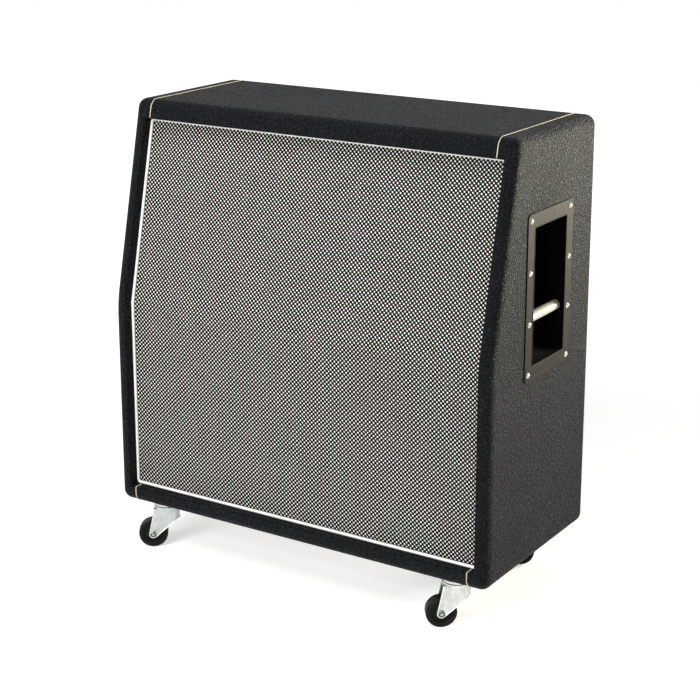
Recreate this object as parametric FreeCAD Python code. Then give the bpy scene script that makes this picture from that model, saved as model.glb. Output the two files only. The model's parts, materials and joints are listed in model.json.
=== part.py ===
import FreeCAD, Part
import math
import os

# Slant-front guitar speaker cabinet on swivel casters, in millimetres
# Origin on the floor under the middle of the cabinet, X to the right, Y to the back, Z up

Vector = FreeCAD.Vector

# Cabinet outside, covering included
cab_width = 770.0
cab_height = 740.0
cab_depth = 370.0
top_depth = 290.0
bend_height = 380.0
bend_radius = 250.0
edge_radius = 18.0
lip_radius = 3.0
vinyl_t = 1.0

# Borders around the front and rear openings, and the corner joints
side_border = 25.0
top_border = 34.0
bottom_border = 30.0
rear_border = 25.0
finger_width = 30.0

# Seam cords between the side coverings and the top and bottom ones
seam_inset = 37.0
seam_cord_d = 1.8
seam_gap = 0.05

# Front: cloth, piping, baffle boards and battens
front_recess = 22.5
cloth_t = 1.0
baffle_t = 18.0
baffle_gap = 1.5
piping_d = 5.4
piping_gap = 0.05
piping_corner = 5.0
batten = 20.0
mid_batten_height = 22.0
post_width = 36.0

# Rear panel
rear_recess = 6.0
rear_panel_t = 15.0
rear_panel_gap = 1.0
rear_screws_across = 5
rear_screws_up = 3
rear_screw_head_d = 9.0
rear_screw_head_h = 2.2
rear_screw_shank_d = 4.0
rear_screw_length = 32.0
screw_hole_gap = 0.1

# Jack plate, centred across the rear panel
jack_plate_width = 120.0
jack_plate_height = 70.0
jack_plate_t = 2.0
jack_plate_z = 500.0
jack_plate_screw_inset = 8.0
jack_pocket_width = 90.0
jack_pocket_height = 46.0
jack_pitch = 44.0
jack_bore_d = 6.5
jack_bore_depth = 30.0
jack_bush_d = 10.0
jack_body_d = 16.0
jack_body_length = 30.0
jack_nut_d = 15.0
jack_nut_h = 3.0
jack_hole_gap = 0.1
jack_screw_length = 15.0

# Loudspeakers, whose frames fill the room between the battens
speaker_edge_gap = 1.04
speaker_side_gap = 6.5
speaker_middle_gap = 6.0
speaker_rim = 18.5
speaker_cutout_lap = 13.0
speaker_bolt_inset = 6.0
speaker_bolt_d = 5.0
speaker_bolt_head_d = 9.0
speaker_bolt_head_h = 3.5
speaker_bolt_gap = 0.25
gasket_t = 3.0
basket_t = 2.5
basket_shoulder = 3.0
basket_wall = 3.5
basket_back_d = 148.0
basket_back_depth = 77.0
basket_hole_d = 76.0
basket_windows = 6
basket_window_degrees = 40.0
basket_window_front = 12.0
basket_window_back = 14.0
spider_seat_d = 134.0
spider_seat_t = 6.0
spider_seat_depth = 64.0
spider_t = 1.0
spider_ridge = 2.5
spider_edge_gap = 0.5
surround_width = 10.8
surround_t = 1.2
surround_lift = 0.5
surround_roll = 2.3
surround_slope = 2.8
surround_slope_back = 0.6
soft_gap = 0.2
cone_t = 1.5
cone_depth = 51.5
dust_cap_d = 72.0
dust_cap_rise = 10.0
dust_cap_t = 0.8
coil_d = 45.8
coil_t = 0.7
coil_length = 39.0
coil_lead_in = 3.0
glue_gap = 0.1
magnet_gap_out = 1.1
magnet_gap_in = 0.8
pole_drop = 1.0
magnet_plate_d = 120.0
magnet_plate_t = 8.0
magnet_ring_d = 156.0
magnet_ring_hole_d = 80.0
magnet_ring_t = 18.0
terminal_width = 14.0
terminal_depth = 10.0
terminal_t = 6.0
terminal_inset = 2.0

# Leads inside the cabinet
lead_d = 3.0
lead_run = 50.0
lead_bend = 20.0
lead_spread = 3.5

# Side handles: place is measured from the front plane and from the underside
handle_y = 197.0
handle_z = 470.5
handle_plate_width = 164.0
handle_plate_height = 282.0
handle_plate_corner = 8.0
handle_sheet_t = 1.6
handle_flange_side = 24.5
handle_flange_end = 24.0
handle_cup_depth = 65.0
handle_cup_round = 8.0
handle_cutout_gap = 1.0
handle_grip_d = 17.5
handle_grip_drop = 40.5
handle_grip_depth = 15.0
handle_grip_gap = 0.3
handle_bar_d = 12.0
handle_bar_gap = 0.1
handle_screw_inset = 11.3
handle_screw_rows = 4
handle_screw_head_d = 10.0
handle_screw_head_h = 2.6
handle_screw_shank_d = 4.0
handle_screw_length = 20.0

# Casters
caster_height = 90.0
caster_inset_x = 77.0
caster_inset_y = 40.0
caster_trail = 26.0
caster_angles = {"front_left": 216.0, "front_right": 216.0, "rear_left": 172.0, "rear_right": 200.0}
wheel_d = 54.0
wheel_width = 20.0
wheel_round = 2.5
wheel_dish = 2.5
wheel_tread = 8.0
wheel_dish_slope = 2.0
hub_d = 18.0
hub_proud = 1.0
hub_slope = 1.0
hub_root = 1.5
hub_gap = 0.2
axle_d = 8.0
axle_gap = 0.05
axle_head_d = 12.0
axle_head_h = 2.4
fork_t = 2.5
fork_eye_r = 8.0
fork_rear_drop = 20.5
fork_rear_rise = 1.5
fork_crown_t = 3.0
race_d = 47.0
race_t = 5.0
race_gap = 2.0
top_race_d = 48.0
top_race_t = 4.0
ball_d = 3.2
ball_circle_d = 34.0
ball_count = 12
ball_bands = 10
ball_gap = 0.05
king_pin_d = 10.0
king_pin_gap = 0.05
king_head_d = 16.0
king_head_t = 3.4
king_head_gap = 0.1
stem_d = 11.0
stem_length = 24.0
stem_gap = 0.1
socket_flange_d = 40.0
socket_flange_t = 2.0
socket_d = 16.0
socket_length = 25.5
socket_gap = 0.1

# How far a cutting body passes the face that it cuts
cut_spare = 1.0
cut_reach = 5.0
jack_hole_reach = 10.0
handle_mouth_lap = 0.5

# Derived planes and half sizes
half_width = cab_width / 2
y_front = -cab_depth / 2
y_back = cab_depth / 2
y_top_front = y_back - top_depth
z_floor = caster_height
z_top = z_floor + cab_height
z_bend = z_floor + bend_height
half_open = half_width - side_border
z_open_low = z_floor + bottom_border
z_open_high = z_top - top_border
slope_length = math.hypot(y_top_front - y_front, z_top - z_bend)
slope_y = (y_top_front - y_front) / slope_length
slope_z = (z_top - z_bend) / slope_length
slant_degrees = math.degrees(math.atan2(slope_y, slope_z))
cloth_back = front_recess + cloth_t
baffle_back = cloth_back + baffle_t
half_baffle = half_open - baffle_gap - cloth_t
z_baffle_low = z_open_low + baffle_gap + cloth_t
z_baffle_high = z_open_high - baffle_gap - cloth_t
inner_x = half_open + vinyl_t
z_inner_low = z_floor + rear_border - vinyl_t
z_inner_high = z_top - rear_border + vinyl_t
y_rear_face = y_back - rear_recess
y_rear_board = y_rear_face - vinyl_t
y_rear_inside = y_rear_board - rear_panel_t
seam_x = half_width - seam_inset


def bend_point(inset):
    """Where the upright and slanted front lines meet, this far inside the front."""
    along = inset * (1 - slope_z) / slope_y
    return y_front + inset, z_bend - slope_y * inset + slope_z * along


def slant_y(z, inset):
    """Y of the slanted front line at height z, this far inside the front."""
    along = (z - z_bend + slope_y * inset) / slope_z
    return y_front + slope_z * inset + slope_y * along


def outline(inset):
    """Corners of the cabinet's side view, this far inside the outside."""
    low = z_floor + inset
    high = z_top - inset
    return [(y_front + inset, low), (y_back - inset, low), (y_back - inset, high),
            (slant_y(high, inset), high), bend_point(inset)]


def rounded_wire(points, radii, closed):
    """Straight runs through the points, joined by tangent arcs of the given radii."""
    count = len(points)
    before = list(points)
    after = list(points)
    arcs = {}
    for k in range(count):
        if radii[k] > 0:
            back = (points[k - 1] - points[k]).normalize()
            ahead = (points[(k + 1) % count] - points[k]).normalize()
            half = back.getAngle(ahead) / 2
            middle = (back + ahead).normalize()
            before[k] = points[k] + back * (radii[k] / math.tan(half))
            after[k] = points[k] + ahead * (radii[k] / math.tan(half))
            nearest = points[k] + middle * (radii[k] / math.sin(half) - radii[k])
            arcs[k] = Part.Arc(before[k], nearest, after[k]).toShape()
    edges = []
    for k in range(count):
        if k in arcs:
            edges.append(arcs[k])
        if closed or k < count - 1:
            edges.append(Part.LineSegment(after[k], before[(k + 1) % count]).toShape())
    return Part.Wire(edges)


def tube(path, diameter):
    """Round bar along a wire of runs and arcs, whose volume is compared with its section times its length."""
    first = path.Edges[0]
    start = first.valueAt(first.FirstParameter)
    heading = first.tangentAt(first.FirstParameter)
    section = Part.Wire(Part.makeCircle(diameter / 2, start, heading))
    solid = path.makePipeShell([section], True, False)
    expected = math.pi * diameter ** 2 / 4 * path.Length
    print("tube volume over section times length", round(solid.Volume / expected, 4))
    return solid


def prism(points_yz, x_low, x_high):
    """Polygon in the YZ plane, extruded between two X values."""
    corners = [Vector(x_low, y, z) for y, z in points_yz]
    return Part.Face(Part.makePolygon(corners + corners[:1])).extrude(Vector(x_high - x_low, 0, 0))


def block(low, high):
    """Box between two corners."""
    size = [b - a for a, b in zip(low, high)]
    return Part.makeBox(size[0], size[1], size[2], Vector(*low))


def turned(points_ry):
    """Solid of revolution about Y, from radius and depth pairs."""
    corners = [Vector(r, y, 0) for r, y in points_ry]
    face = Part.Face(Part.makePolygon(corners + corners[:1]))
    return face.revolve(Vector(0, 0, 0), Vector(0, 1, 0), 360)


def mirrored(shape):
    """The same shape on the other side of the YZ plane."""
    return shape.mirror(Vector(0, 0, 0), Vector(1, 0, 0))


def screw(head_d, head_h, shank_d, length, place, outward):
    """Domed screw with the underside of its head at a place, and its head pointing outward."""
    head = [(0, 0), (head_d / 2, 0), (head_d * 0.46, head_h * 0.5), (head_d * 0.32, head_h * 0.87),
            (0, head_h)]
    solid = turned(head).fuse(Part.makeCylinder(shank_d / 2, length, Vector(0, 0, 0), Vector(0, -1, 0)))
    turn = FreeCAD.Rotation(Vector(0, 1, 0), outward)
    return solid.removeSplitter().transformGeometry(FreeCAD.Placement(place, turn).toMatrix())


def drill(diameter, length, place, outward):
    """Cutter for a screw's shank, which passes the surface by a little."""
    return Part.makeCylinder(diameter / 2, length + 6, place + outward * 5, outward * -1)


nodes = {}
y_rail_back = slant_y(z_open_high, baffle_back)

# Carcass and covering, from one body that is made at two insets


def carcass(inset):
    """Cabinet body with its front and rear openings, this far inside the outside."""
    corners = [Vector(inset - half_width, y, z) for y, z in outline(inset)]
    wire = rounded_wire(corners, [0, 0, 0, 0, bend_radius - inset], True)
    body = Part.Face(wire).extrude(Vector(cab_width - 2 * inset, 0, 0))
    levels = (z_floor + inset, z_top - inset)
    outer_edges = []
    for edge in body.Edges:
        middle = edge.CenterOfMass
        at_end = abs(abs(middle.x) - half_width + inset) < 0.001
        at_level = min(abs(middle.z - level) for level in levels) < 0.001
        if at_end or at_level:
            outer_edges.append(edge)
    body = body.makeFillet(edge_radius - inset, outer_edges)
    half = half_open + inset
    low = z_open_low - inset
    high = z_open_high + inset
    body = body.cut(block((-half, y_front - 1, low), (half, y_back + 1, high)))
    rear_low = z_floor + rear_border - inset
    rear_high = z_top - rear_border + inset
    body = body.cut(block((-half, y_front + baffle_back, rear_low), (half, y_back + 1, low + 1)))
    body = body.cut(block((-half, y_rail_back, high - 1), (half, y_back + 1, rear_high)))
    lip_edges = []
    for edge in body.Edges:
        middle = edge.valueAt((edge.FirstParameter + edge.LastParameter) / 2)
        depth = min(middle.y - y_front, (middle.y - slant_y(middle.z, 0)) * slope_z)
        if middle.z > z_bend + bend_radius * 0.2:
            depth = (middle.y - slant_y(middle.z, 0)) * slope_z
        near_bend = abs(middle.z - z_bend) < bend_radius * 0.2
        on_front = abs(depth - inset) < (3.0 if near_bend else 0.001)
        on_back = abs(y_back - inset - middle.y) < 0.001
        at_side = abs(abs(middle.x) - half) < 0.001
        at_front_level = min(abs(middle.z - low), abs(middle.z - high)) < 0.001
        at_rear_level = min(abs(middle.z - rear_low), abs(middle.z - rear_high)) < 0.001
        if on_front and (at_side or at_front_level) and low - 1 < middle.z < high + 1:
            lip_edges.append(edge)
        if on_back and (at_side or at_rear_level) and abs(middle.x) < half + 1:
            lip_edges.append(edge)
    print("lip edges", len(lip_edges))
    return body.makeFillet(lip_radius - inset, lip_edges)


def fingers(y_low, y_high, z_low, z_high):
    """Every second finger of a corner joint on the right, as boxes that the level board keeps."""
    count = 2 * int((y_high - y_low) / (2 * finger_width)) + 1
    width = (y_high - y_low) / count
    boxes = []
    for k in range(1, count, 2):
        start = y_low + k * width
        boxes.append(block((inner_x, start, z_low), (half_width, start + width, z_high)))
    return boxes


covered = carcass(0.0)
wood = carcass(vinyl_t)
inside = prism([(y_front + baffle_back, z_inner_low), (y_rear_inside, z_inner_low),
                (y_rear_inside, z_inner_high), (y_rail_back, z_inner_high),
                (y_rail_back, z_open_high), bend_point(baffle_back)], -inner_x, inner_x)
skin = covered.cut(wood).cut(inside)

top_fingers = fingers(y_top_front, y_back, z_inner_high, z_top)
bottom_fingers = fingers(y_front, y_back, z_floor, z_inner_low)
finger_boxes = top_fingers + bottom_fingers
side_board = wood.common(block((inner_x, y_front, z_floor), (half_width, y_back, z_top)))
side_board = side_board.cut(Part.makeCompound(finger_boxes))
between = wood.common(block((-inner_x, y_front, z_floor), (inner_x, y_back, z_top)))
top_board = between.common(block((-inner_x, y_front, z_inner_high), (inner_x, y_back, z_top)))
bottom_board = between.common(block((-inner_x, y_front, z_floor), (inner_x, y_back, z_inner_low)))
for finger in top_fingers:
    top_board = top_board.fuse([wood.common(finger), wood.common(mirrored(finger))])
for finger in bottom_fingers:
    bottom_board = bottom_board.fuse([wood.common(finger), wood.common(mirrored(finger))])
top_board = top_board.removeSplitter()
bottom_board = bottom_board.removeSplitter()
rails = between.common(block((-inner_x, y_front, z_inner_low), (inner_x, y_back, z_inner_high)))
nodes["front_rails"] = rails.Solids

groove = seam_cord_d / 2 + seam_gap
side_skin = skin.common(block((seam_x + groove, y_front - 1, z_floor - 1),
                              (half_width + 1, y_back + 1, z_top + 1)))
middle_skin = skin.common(block((groove - seam_x, y_front - 1, z_floor - 1),
                                (seam_x - groove, y_back + 1, z_top + 1)))
top_skin = max(middle_skin.Solids, key=lambda solid: solid.CenterOfMass.z)
bottom_skin = min(middle_skin.Solids, key=lambda solid: solid.CenterOfMass.z)

# Seam cords, each in the groove between two coverings

cord_inset = vinyl_t - seam_cord_d / 2 - seam_gap
cord_corner = edge_radius - cord_inset
y_in = y_front + cord_inset
y_out = y_back - cord_inset
z_low = z_floor + cord_inset
z_high = z_top - cord_inset
z_ledge = z_open_low - cord_inset
z_lip = z_open_high + lip_radius
y_ledge_end = y_front + front_recess - piping_d - 2 * piping_gap - 1
top_path = [(slant_y(z_lip, cord_inset), z_lip), (slant_y(z_high, cord_inset), z_high), (y_out, z_high),
            (y_out, z_top - rear_border + lip_radius)]
bottom_path = [(y_ledge_end, z_ledge), (y_in, z_ledge), (y_in, z_low), (y_out, z_low),
               (y_out, z_floor + rear_border - lip_radius)]
seam_cords = []
for side in (-1, 1):
    for path, radii in ((top_path, [0, cord_corner, cord_corner, 0]),
                        (bottom_path, [0, lip_radius - cord_inset, cord_corner, cord_corner, 0])):
        points = [Vector(side * seam_x, y, z) for y, z in path]
        seam_cords.append(tube(rounded_wire(points, radii, False), seam_cord_d))
nodes["seam_cords"] = seam_cords

# Baffle boards that meet at the bend, the cloth around them and the piping


def chevron(near, far, low, high, half):
    """Bent board between two insets from the front."""
    points = [(y_front + near, low), (y_front + far, low), bend_point(far), (slant_y(high, far), high),
              (slant_y(high, near), high), bend_point(near)]
    return prism(points, -half, half)


lower_points = [(y_front + cloth_back, z_baffle_low), (y_front + baffle_back, z_baffle_low),
                bend_point(baffle_back), bend_point(cloth_back)]
upper_points = [bend_point(cloth_back), bend_point(baffle_back),
                (slant_y(z_baffle_high, baffle_back), z_baffle_high),
                (slant_y(z_baffle_high, cloth_back), z_baffle_high)]
lower_board = prism(lower_points, -half_baffle, half_baffle)
upper_board = prism(upper_points, -half_baffle, half_baffle)
cloth = chevron(front_recess, baffle_back, z_baffle_low - cloth_t, z_baffle_high + cloth_t,
                half_baffle + cloth_t)
boards = chevron(cloth_back, baffle_back + 1, z_baffle_low, z_baffle_high, half_baffle)
nodes["grille_cloth"] = [cloth.cut(boards)]

piping_r = piping_d / 2
piping_inset = front_recess - piping_r - piping_gap
piping_x = half_open - piping_r - piping_gap
piping_low = z_open_low + piping_r + piping_gap
piping_high = z_open_high - piping_r - piping_gap
left_run = [Vector(-piping_x, y_front + piping_inset, piping_low),
            Vector(-piping_x, *bend_point(piping_inset)),
            Vector(-piping_x, slant_y(piping_high, piping_inset), piping_high)]
right_run = [Vector(-point.x, point.y, point.z) for point in reversed(left_run)]
piping_path = rounded_wire(left_run + right_run, [piping_corner] * 6, True)
nodes["grille_piping"] = [tube(piping_path, piping_d)]

# Battens behind the baffle, rear battens and the post

y_batten = y_front + baffle_back
far = baffle_back + batten
side_low = prism([(y_batten, z_inner_low), (y_batten + batten, z_inner_low), bend_point(far),
                  bend_point(baffle_back)], inner_x - batten, inner_x)
z_side_top = z_inner_high - batten
side_high = prism([bend_point(baffle_back), bend_point(far), (slant_y(z_side_top, far), z_side_top),
                   (slant_y(z_side_top, baffle_back), z_side_top)], inner_x - batten, inner_x)
bottom_batten = block((batten - inner_x, y_batten, z_inner_low),
                      (inner_x - batten, y_batten + batten, z_inner_low + batten))
y_top_batten = slant_y(z_side_top, baffle_back)
y_top_batten_back = y_top_batten + batten
top_batten = prism([(y_top_batten, z_side_top), (y_rail_back, z_open_high), (y_rail_back, z_inner_high),
                    (y_top_batten_back, z_inner_high), (y_top_batten_back, z_side_top)], -inner_x, inner_x)
z_mitre = bend_point(baffle_back)[1]
z_mid_low = z_mitre - mid_batten_height / 2
z_mid_high = z_mitre + mid_batten_height / 2
y_mid_back = y_batten + batten
mid_batten = prism([(y_batten, z_mid_low), bend_point(baffle_back),
                    (slant_y(z_mid_high, baffle_back), z_mid_high), (y_mid_back, z_mid_high),
                    (y_mid_back, z_mid_low)], batten - inner_x, inner_x - batten)
nodes["baffle_battens"] = [side_low, side_high, mirrored(side_low), mirrored(side_high),
                           bottom_batten, top_batten, mid_batten]
nodes["centre_post"] = [block((-post_width / 2, y_mid_back, z_mitre - post_width / 2),
                              (post_width / 2, y_rear_inside, z_mitre + post_width / 2))]

y_rear_batten = y_rear_inside - batten
rear_upright = block((inner_x - batten, y_rear_batten, z_inner_low), (inner_x, y_rear_inside, z_inner_high))
rear_low = block((batten - inner_x, y_rear_batten, z_inner_low),
                 (inner_x - batten, y_rear_inside, z_inner_low + batten))
rear_high = block((batten - inner_x, y_rear_batten, z_inner_high - batten),
                  (inner_x - batten, y_rear_inside, z_inner_high))
rear_frame = Part.makeCompound([rear_upright, mirrored(rear_upright), rear_low, rear_high])

# Rear panel with its covering, screws and jack plate

rear_half = half_open - rear_panel_gap
z_rear_low = z_floor + rear_border + rear_panel_gap
z_rear_high = z_top - rear_border - rear_panel_gap
z_jack = z_floor + jack_plate_z
rear_board = block((-rear_half, y_rear_inside, z_rear_low), (rear_half, y_rear_board, z_rear_high))
rear_skin = block((-rear_half, y_rear_board, z_rear_low), (rear_half, y_rear_face, z_rear_high))
pocket = block((-jack_pocket_width / 2, y_rear_inside - 1, z_jack - jack_pocket_height / 2),
               (jack_pocket_width / 2, y_rear_face + 1, z_jack + jack_pocket_height / 2))
backward = Vector(0, 1, 0)
line_x = inner_x - batten / 2
line_low = z_inner_low + batten / 2
line_high = z_inner_high - batten / 2
places = []
for k in range(rear_screws_across):
    x = -line_x + 2 * line_x * k / (rear_screws_across - 1)
    places += [Vector(x, y_rear_face, line_low), Vector(x, y_rear_face, line_high)]
for k in range(1, rear_screws_up + 1):
    z = line_low + (line_high - line_low) * k / (rear_screws_up + 1)
    places += [Vector(-line_x, y_rear_face, z), Vector(line_x, y_rear_face, z)]
rear_head = (rear_screw_head_d, rear_screw_head_h, rear_screw_shank_d)
rear_fixings = [screw(*rear_head, rear_screw_length, place, backward) for place in places]
rear_hole_d = rear_screw_shank_d + 2 * screw_hole_gap
rear_drills = [drill(rear_hole_d, rear_screw_length, place, backward) for place in places]
plate_x = jack_plate_width / 2 - jack_plate_screw_inset
plate_z = jack_plate_height / 2 - jack_plate_screw_inset
y_plate_face = y_rear_face + jack_plate_t
for x in (-plate_x, plate_x):
    for z in (-plate_z, plate_z):
        place = Vector(x, y_plate_face, z_jack + z)
        rear_fixings.append(screw(*rear_head, jack_screw_length, place, backward))
        rear_drills.append(drill(rear_hole_d, jack_screw_length, place, backward))
rear_holes = Part.makeCompound(rear_drills)
nodes["rear_screws"] = rear_fixings
nodes["rear_battens"] = rear_frame.cut(rear_holes).Solids
nodes["rear_panel"] = [rear_board.cut(pocket).cut(rear_holes)]
nodes["vinyl_rear"] = [rear_skin.cut(pocket).cut(rear_holes)]

plate = block((-jack_plate_width / 2, y_rear_face, z_jack - jack_plate_height / 2),
              (jack_plate_width / 2, y_plate_face, z_jack + jack_plate_height / 2)).cut(rear_holes)
bush_length = jack_plate_t + jack_nut_h
jack_profile = [(jack_bore_d / 2, bush_length), (jack_nut_d / 2, bush_length), (jack_nut_d / 2, jack_plate_t),
                (jack_bush_d / 2, jack_plate_t), (jack_bush_d / 2, 0), (jack_body_d / 2, 0),
                (jack_body_d / 2, -jack_body_length), (0, -jack_body_length),
                (0, bush_length - jack_bore_depth), (jack_bore_d / 2, bush_length - jack_bore_depth)]
jacks = []
for x in (-jack_pitch / 2, jack_pitch / 2):
    place = Vector(x, y_rear_face, z_jack)
    start = place - backward * jack_hole_reach
    hole = Part.makeCylinder(jack_bush_d / 2 + jack_hole_gap, 2 * jack_hole_reach, start, backward)
    plate = plate.cut(hole)
    jacks.append(turned(jack_profile).translated(place))
nodes["jack_plate"] = [plate]
nodes["jack_sockets"] = jacks

# Room that the battens leave for the loudspeakers

z_lower = (z_baffle_low + z_mitre) / 2
z_upper = (z_mitre + z_baffle_high) / 2
speaker_frame_t = gasket_t + basket_t
room_across = inner_x - batten - speaker_side_gap - speaker_middle_gap / 2
room_low = 2 * min(z_mid_low - z_lower, z_lower - z_inner_low - batten)
room_high = 2 * min(z_upper - z_mid_high - speaker_frame_t * slope_y, z_side_top - z_upper) / slope_z
speaker_d = min(room_across, room_low, room_high) - 2 * speaker_edge_gap
speaker_x = inner_x - batten - speaker_side_gap - speaker_d / 2
speaker_cutout_d = speaker_d - 2 * speaker_cutout_lap
speaker_bolt_circle_d = speaker_d - 2 * speaker_bolt_inset
basket_mouth_d = speaker_d - 2 * speaker_rim
print("loudspeaker frame", round(speaker_d, 3), "at", round(speaker_x, 3))

# One loudspeaker about Y, with the back of its board at Y = 0


def loudspeaker():
    """Lists of solids for the pieces of one loudspeaker, by the piece's name."""
    outer = speaker_d / 2
    mouth = basket_mouth_d / 2
    back_r = basket_back_d / 2
    back = basket_back_depth
    rim = speaker_frame_t
    seat_r = spider_seat_d / 2
    floor = back - basket_shoulder
    wall = mouth + basket_shoulder
    basket = turned([(mouth, gasket_t), (outer, gasket_t), (outer, rim), (wall + basket_wall, rim),
                     (back_r, back), (basket_hole_d / 2, back), (basket_hole_d / 2, floor),
                     (seat_r - spider_seat_t, floor), (seat_r - spider_seat_t, spider_seat_depth),
                     (seat_r, spider_seat_depth), (seat_r, floor),
                     (back_r - basket_shoulder, floor), (wall, rim), (mouth, rim)])
    window_low = rim + basket_window_front
    window_height = back - window_low - basket_window_back
    for k in range(basket_windows):
        turn = 360.0 * k / basket_windows
        start = Vector(0, window_low, 0)
        sector = Part.makeCylinder(wall, window_height, start, backward, basket_window_degrees)
        core = Part.makeCylinder(seat_r + basket_wall, window_height, start, backward)
        sector = sector.cut(core)
        sector.rotate(Vector(0, 0, 0), backward, turn + basket_window_degrees / 4)
        basket = basket.cut(sector)
    cutout_r = speaker_cutout_d / 2
    gasket = turned([(cutout_r, 0), (outer, 0), (outer, gasket_t), (cutout_r, gasket_t)])
    bolts = []
    for k in range(4):
        angle = math.radians(45 + 90 * k)
        r = speaker_bolt_circle_d / 2
        place = Vector(r * math.cos(angle), rim, r * math.sin(angle))
        length = rim + baffle_t
        bolt = Part.makeCylinder(speaker_bolt_d / 2, length, place, Vector(0, -1, 0))
        bolt = bolt.fuse(Part.makeCylinder(speaker_bolt_head_d / 2, speaker_bolt_head_h, place, backward))
        bolts.append(bolt.removeSplitter())
        hole = drill(speaker_bolt_d + 2 * speaker_bolt_gap, length, place, backward)
        basket = basket.cut(hole)
        gasket = gasket.cut(hole)

    cone_r = mouth - surround_width - soft_gap
    roll = gasket_t + surround_lift
    crest = roll - surround_roll
    edge = mouth - surround_width
    front_slope = surround_slope
    back_slope = surround_slope + surround_slope_back
    surround = turned([(edge, roll), (edge + front_slope, crest), (mouth - front_slope, crest), (mouth, roll),
                       (mouth, roll + surround_t), (mouth - back_slope, crest + surround_t),
                       (edge + back_slope, crest + surround_t), (edge, roll + surround_t)])
    coil_r = coil_d / 2
    neck_r = coil_r + glue_gap
    cone = turned([(cone_r, roll), (cone_r, roll + cone_t), (neck_r, roll + cone_depth + cone_t),
                   (neck_r, roll + cone_depth)])
    coil_top = roll + cone_depth - coil_lead_in
    coil = turned([(coil_r - coil_t, coil_top), (coil_r, coil_top), (coil_r, coil_top + coil_length),
                   (coil_r - coil_t, coil_top + coil_length)])
    cap_r = dust_cap_d / 2
    cap_edge = roll + cone_depth * (cone_r - cap_r) / (cone_r - neck_r) - glue_gap
    ball_r = (cap_r ** 2 + dust_cap_rise ** 2) / (2 * dust_cap_rise)
    cap_centre = Vector(0, cap_edge - dust_cap_rise + ball_r, 0)
    cap = Part.makeSphere(ball_r, cap_centre).cut(Part.makeSphere(ball_r - dust_cap_t, cap_centre))
    cap = cap.common(block((-ball_r, cap_edge - dust_cap_rise - 1, -ball_r), (ball_r, cap_edge, ball_r)))

    z_foot = spider_seat_depth - spider_t
    inner = coil_r + soft_gap
    pitch = (seat_r - spider_seat_t - inner) / 6
    front_line = [(inner + pitch * k, z_foot - (spider_ridge if k % 2 else 0)) for k in range(7)]
    front_line.append((seat_r - spider_edge_gap, z_foot))
    back_line = [(r, y + spider_t) for r, y in reversed(front_line)]
    spider = turned(front_line + back_line)

    plate_back = back + magnet_plate_t
    ring_back = plate_back + magnet_ring_t
    yoke_back = ring_back + magnet_plate_t
    gap_r = coil_r + magnet_gap_out
    pole_r = coil_r - coil_t - magnet_gap_in
    front_plate = turned([(gap_r, back), (magnet_plate_d / 2, back), (magnet_plate_d / 2, plate_back),
                          (gap_r, plate_back)])
    ring = turned([(magnet_ring_hole_d / 2, plate_back), (magnet_ring_d / 2, plate_back),
                   (magnet_ring_d / 2, ring_back), (magnet_ring_hole_d / 2, ring_back)])
    pole = back + pole_drop
    yoke = turned([(0, pole), (pole_r, pole), (pole_r, ring_back), (magnet_plate_d / 2, ring_back),
                   (magnet_plate_d / 2, yoke_back), (0, yoke_back)])
    terminal_x = back_r - terminal_inset
    terminal = block((-terminal_x, back, -terminal_width / 2),
                     (terminal_depth - terminal_x, back + terminal_t, terminal_width / 2))
    return {"basket": [basket, terminal], "magnet": [front_plate, ring, yoke], "cone": [cone, cap, coil],
            "surrounds": [surround], "spiders": [spider], "gaskets": [gasket], "bolts": bolts}


speakers = {"lower_left": (-speaker_x, y_batten, z_lower, 0.0),
            "lower_right": (speaker_x, y_batten, z_lower, 0.0),
            "upper_left": (-speaker_x, slant_y(z_upper, baffle_back), z_upper, -slant_degrees),
            "upper_right": (speaker_x, slant_y(z_upper, baffle_back), z_upper, -slant_degrees)}
shared = {"surrounds": [], "spiders": [], "gaskets": [], "bolts": []}
leads = []
y_jack_end = y_rear_face - jack_body_length
for name, (x, y, z, tilt) in speakers.items():
    place = FreeCAD.Placement(Vector(x, y, z), FreeCAD.Rotation(Vector(1, 0, 0), tilt))
    side = 1 if x > 0 else -1
    for piece, solids in loudspeaker().items():
        moved = []
        for solid in solids:
            if side < 0:
                solid = mirrored(solid)
            moved.append(solid.transformGeometry(place.toMatrix()))
        if piece in shared:
            shared[piece] += moved
        else:
            nodes["speaker_" + name + "_" + piece] = moved
    cutout = Part.makeCylinder(speaker_cutout_d / 2, baffle_t + 10, Vector(0, 5, 0), Vector(0, -1, 0))
    cutter = [cutout]
    for k in range(4):
        angle = math.radians(45 + 90 * k)
        r = speaker_bolt_circle_d / 2
        bolt_place = Vector(r * math.cos(angle), 0, r * math.sin(angle))
        cutter.append(drill(speaker_bolt_d + 2 * speaker_bolt_gap, baffle_t, bolt_place, backward))
    cutter = Part.makeCompound(cutter).transformGeometry(place.toMatrix())
    if tilt:
        upper_board = upper_board.cut(cutter)
    else:
        lower_board = lower_board.cut(cutter)

    # Lead from the terminal block towards the middle, then back to the jack socket on the same side
    tag = Vector(-side * (basket_back_d / 2 - terminal_inset), basket_back_depth + terminal_t / 2, 0)
    start = place.multVec(tag)
    rise = lead_spread if tilt else -lead_spread
    finish = Vector(side * jack_pitch / 2, y_jack_end, z_jack + rise)
    route = [start, start - Vector(side * lead_run, 0, 0), finish - Vector(0, lead_run, 0), finish]
    leads.append(tube(rounded_wire(route, [0, lead_bend, lead_bend, 0], False), lead_d))
for piece, solids in shared.items():
    nodes["speaker_" + piece] = solids
nodes["speaker_leads"] = leads
nodes["baffle_lower"] = [lower_board]
nodes["baffle_upper"] = [upper_board]

# Side handles, made on the right

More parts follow.
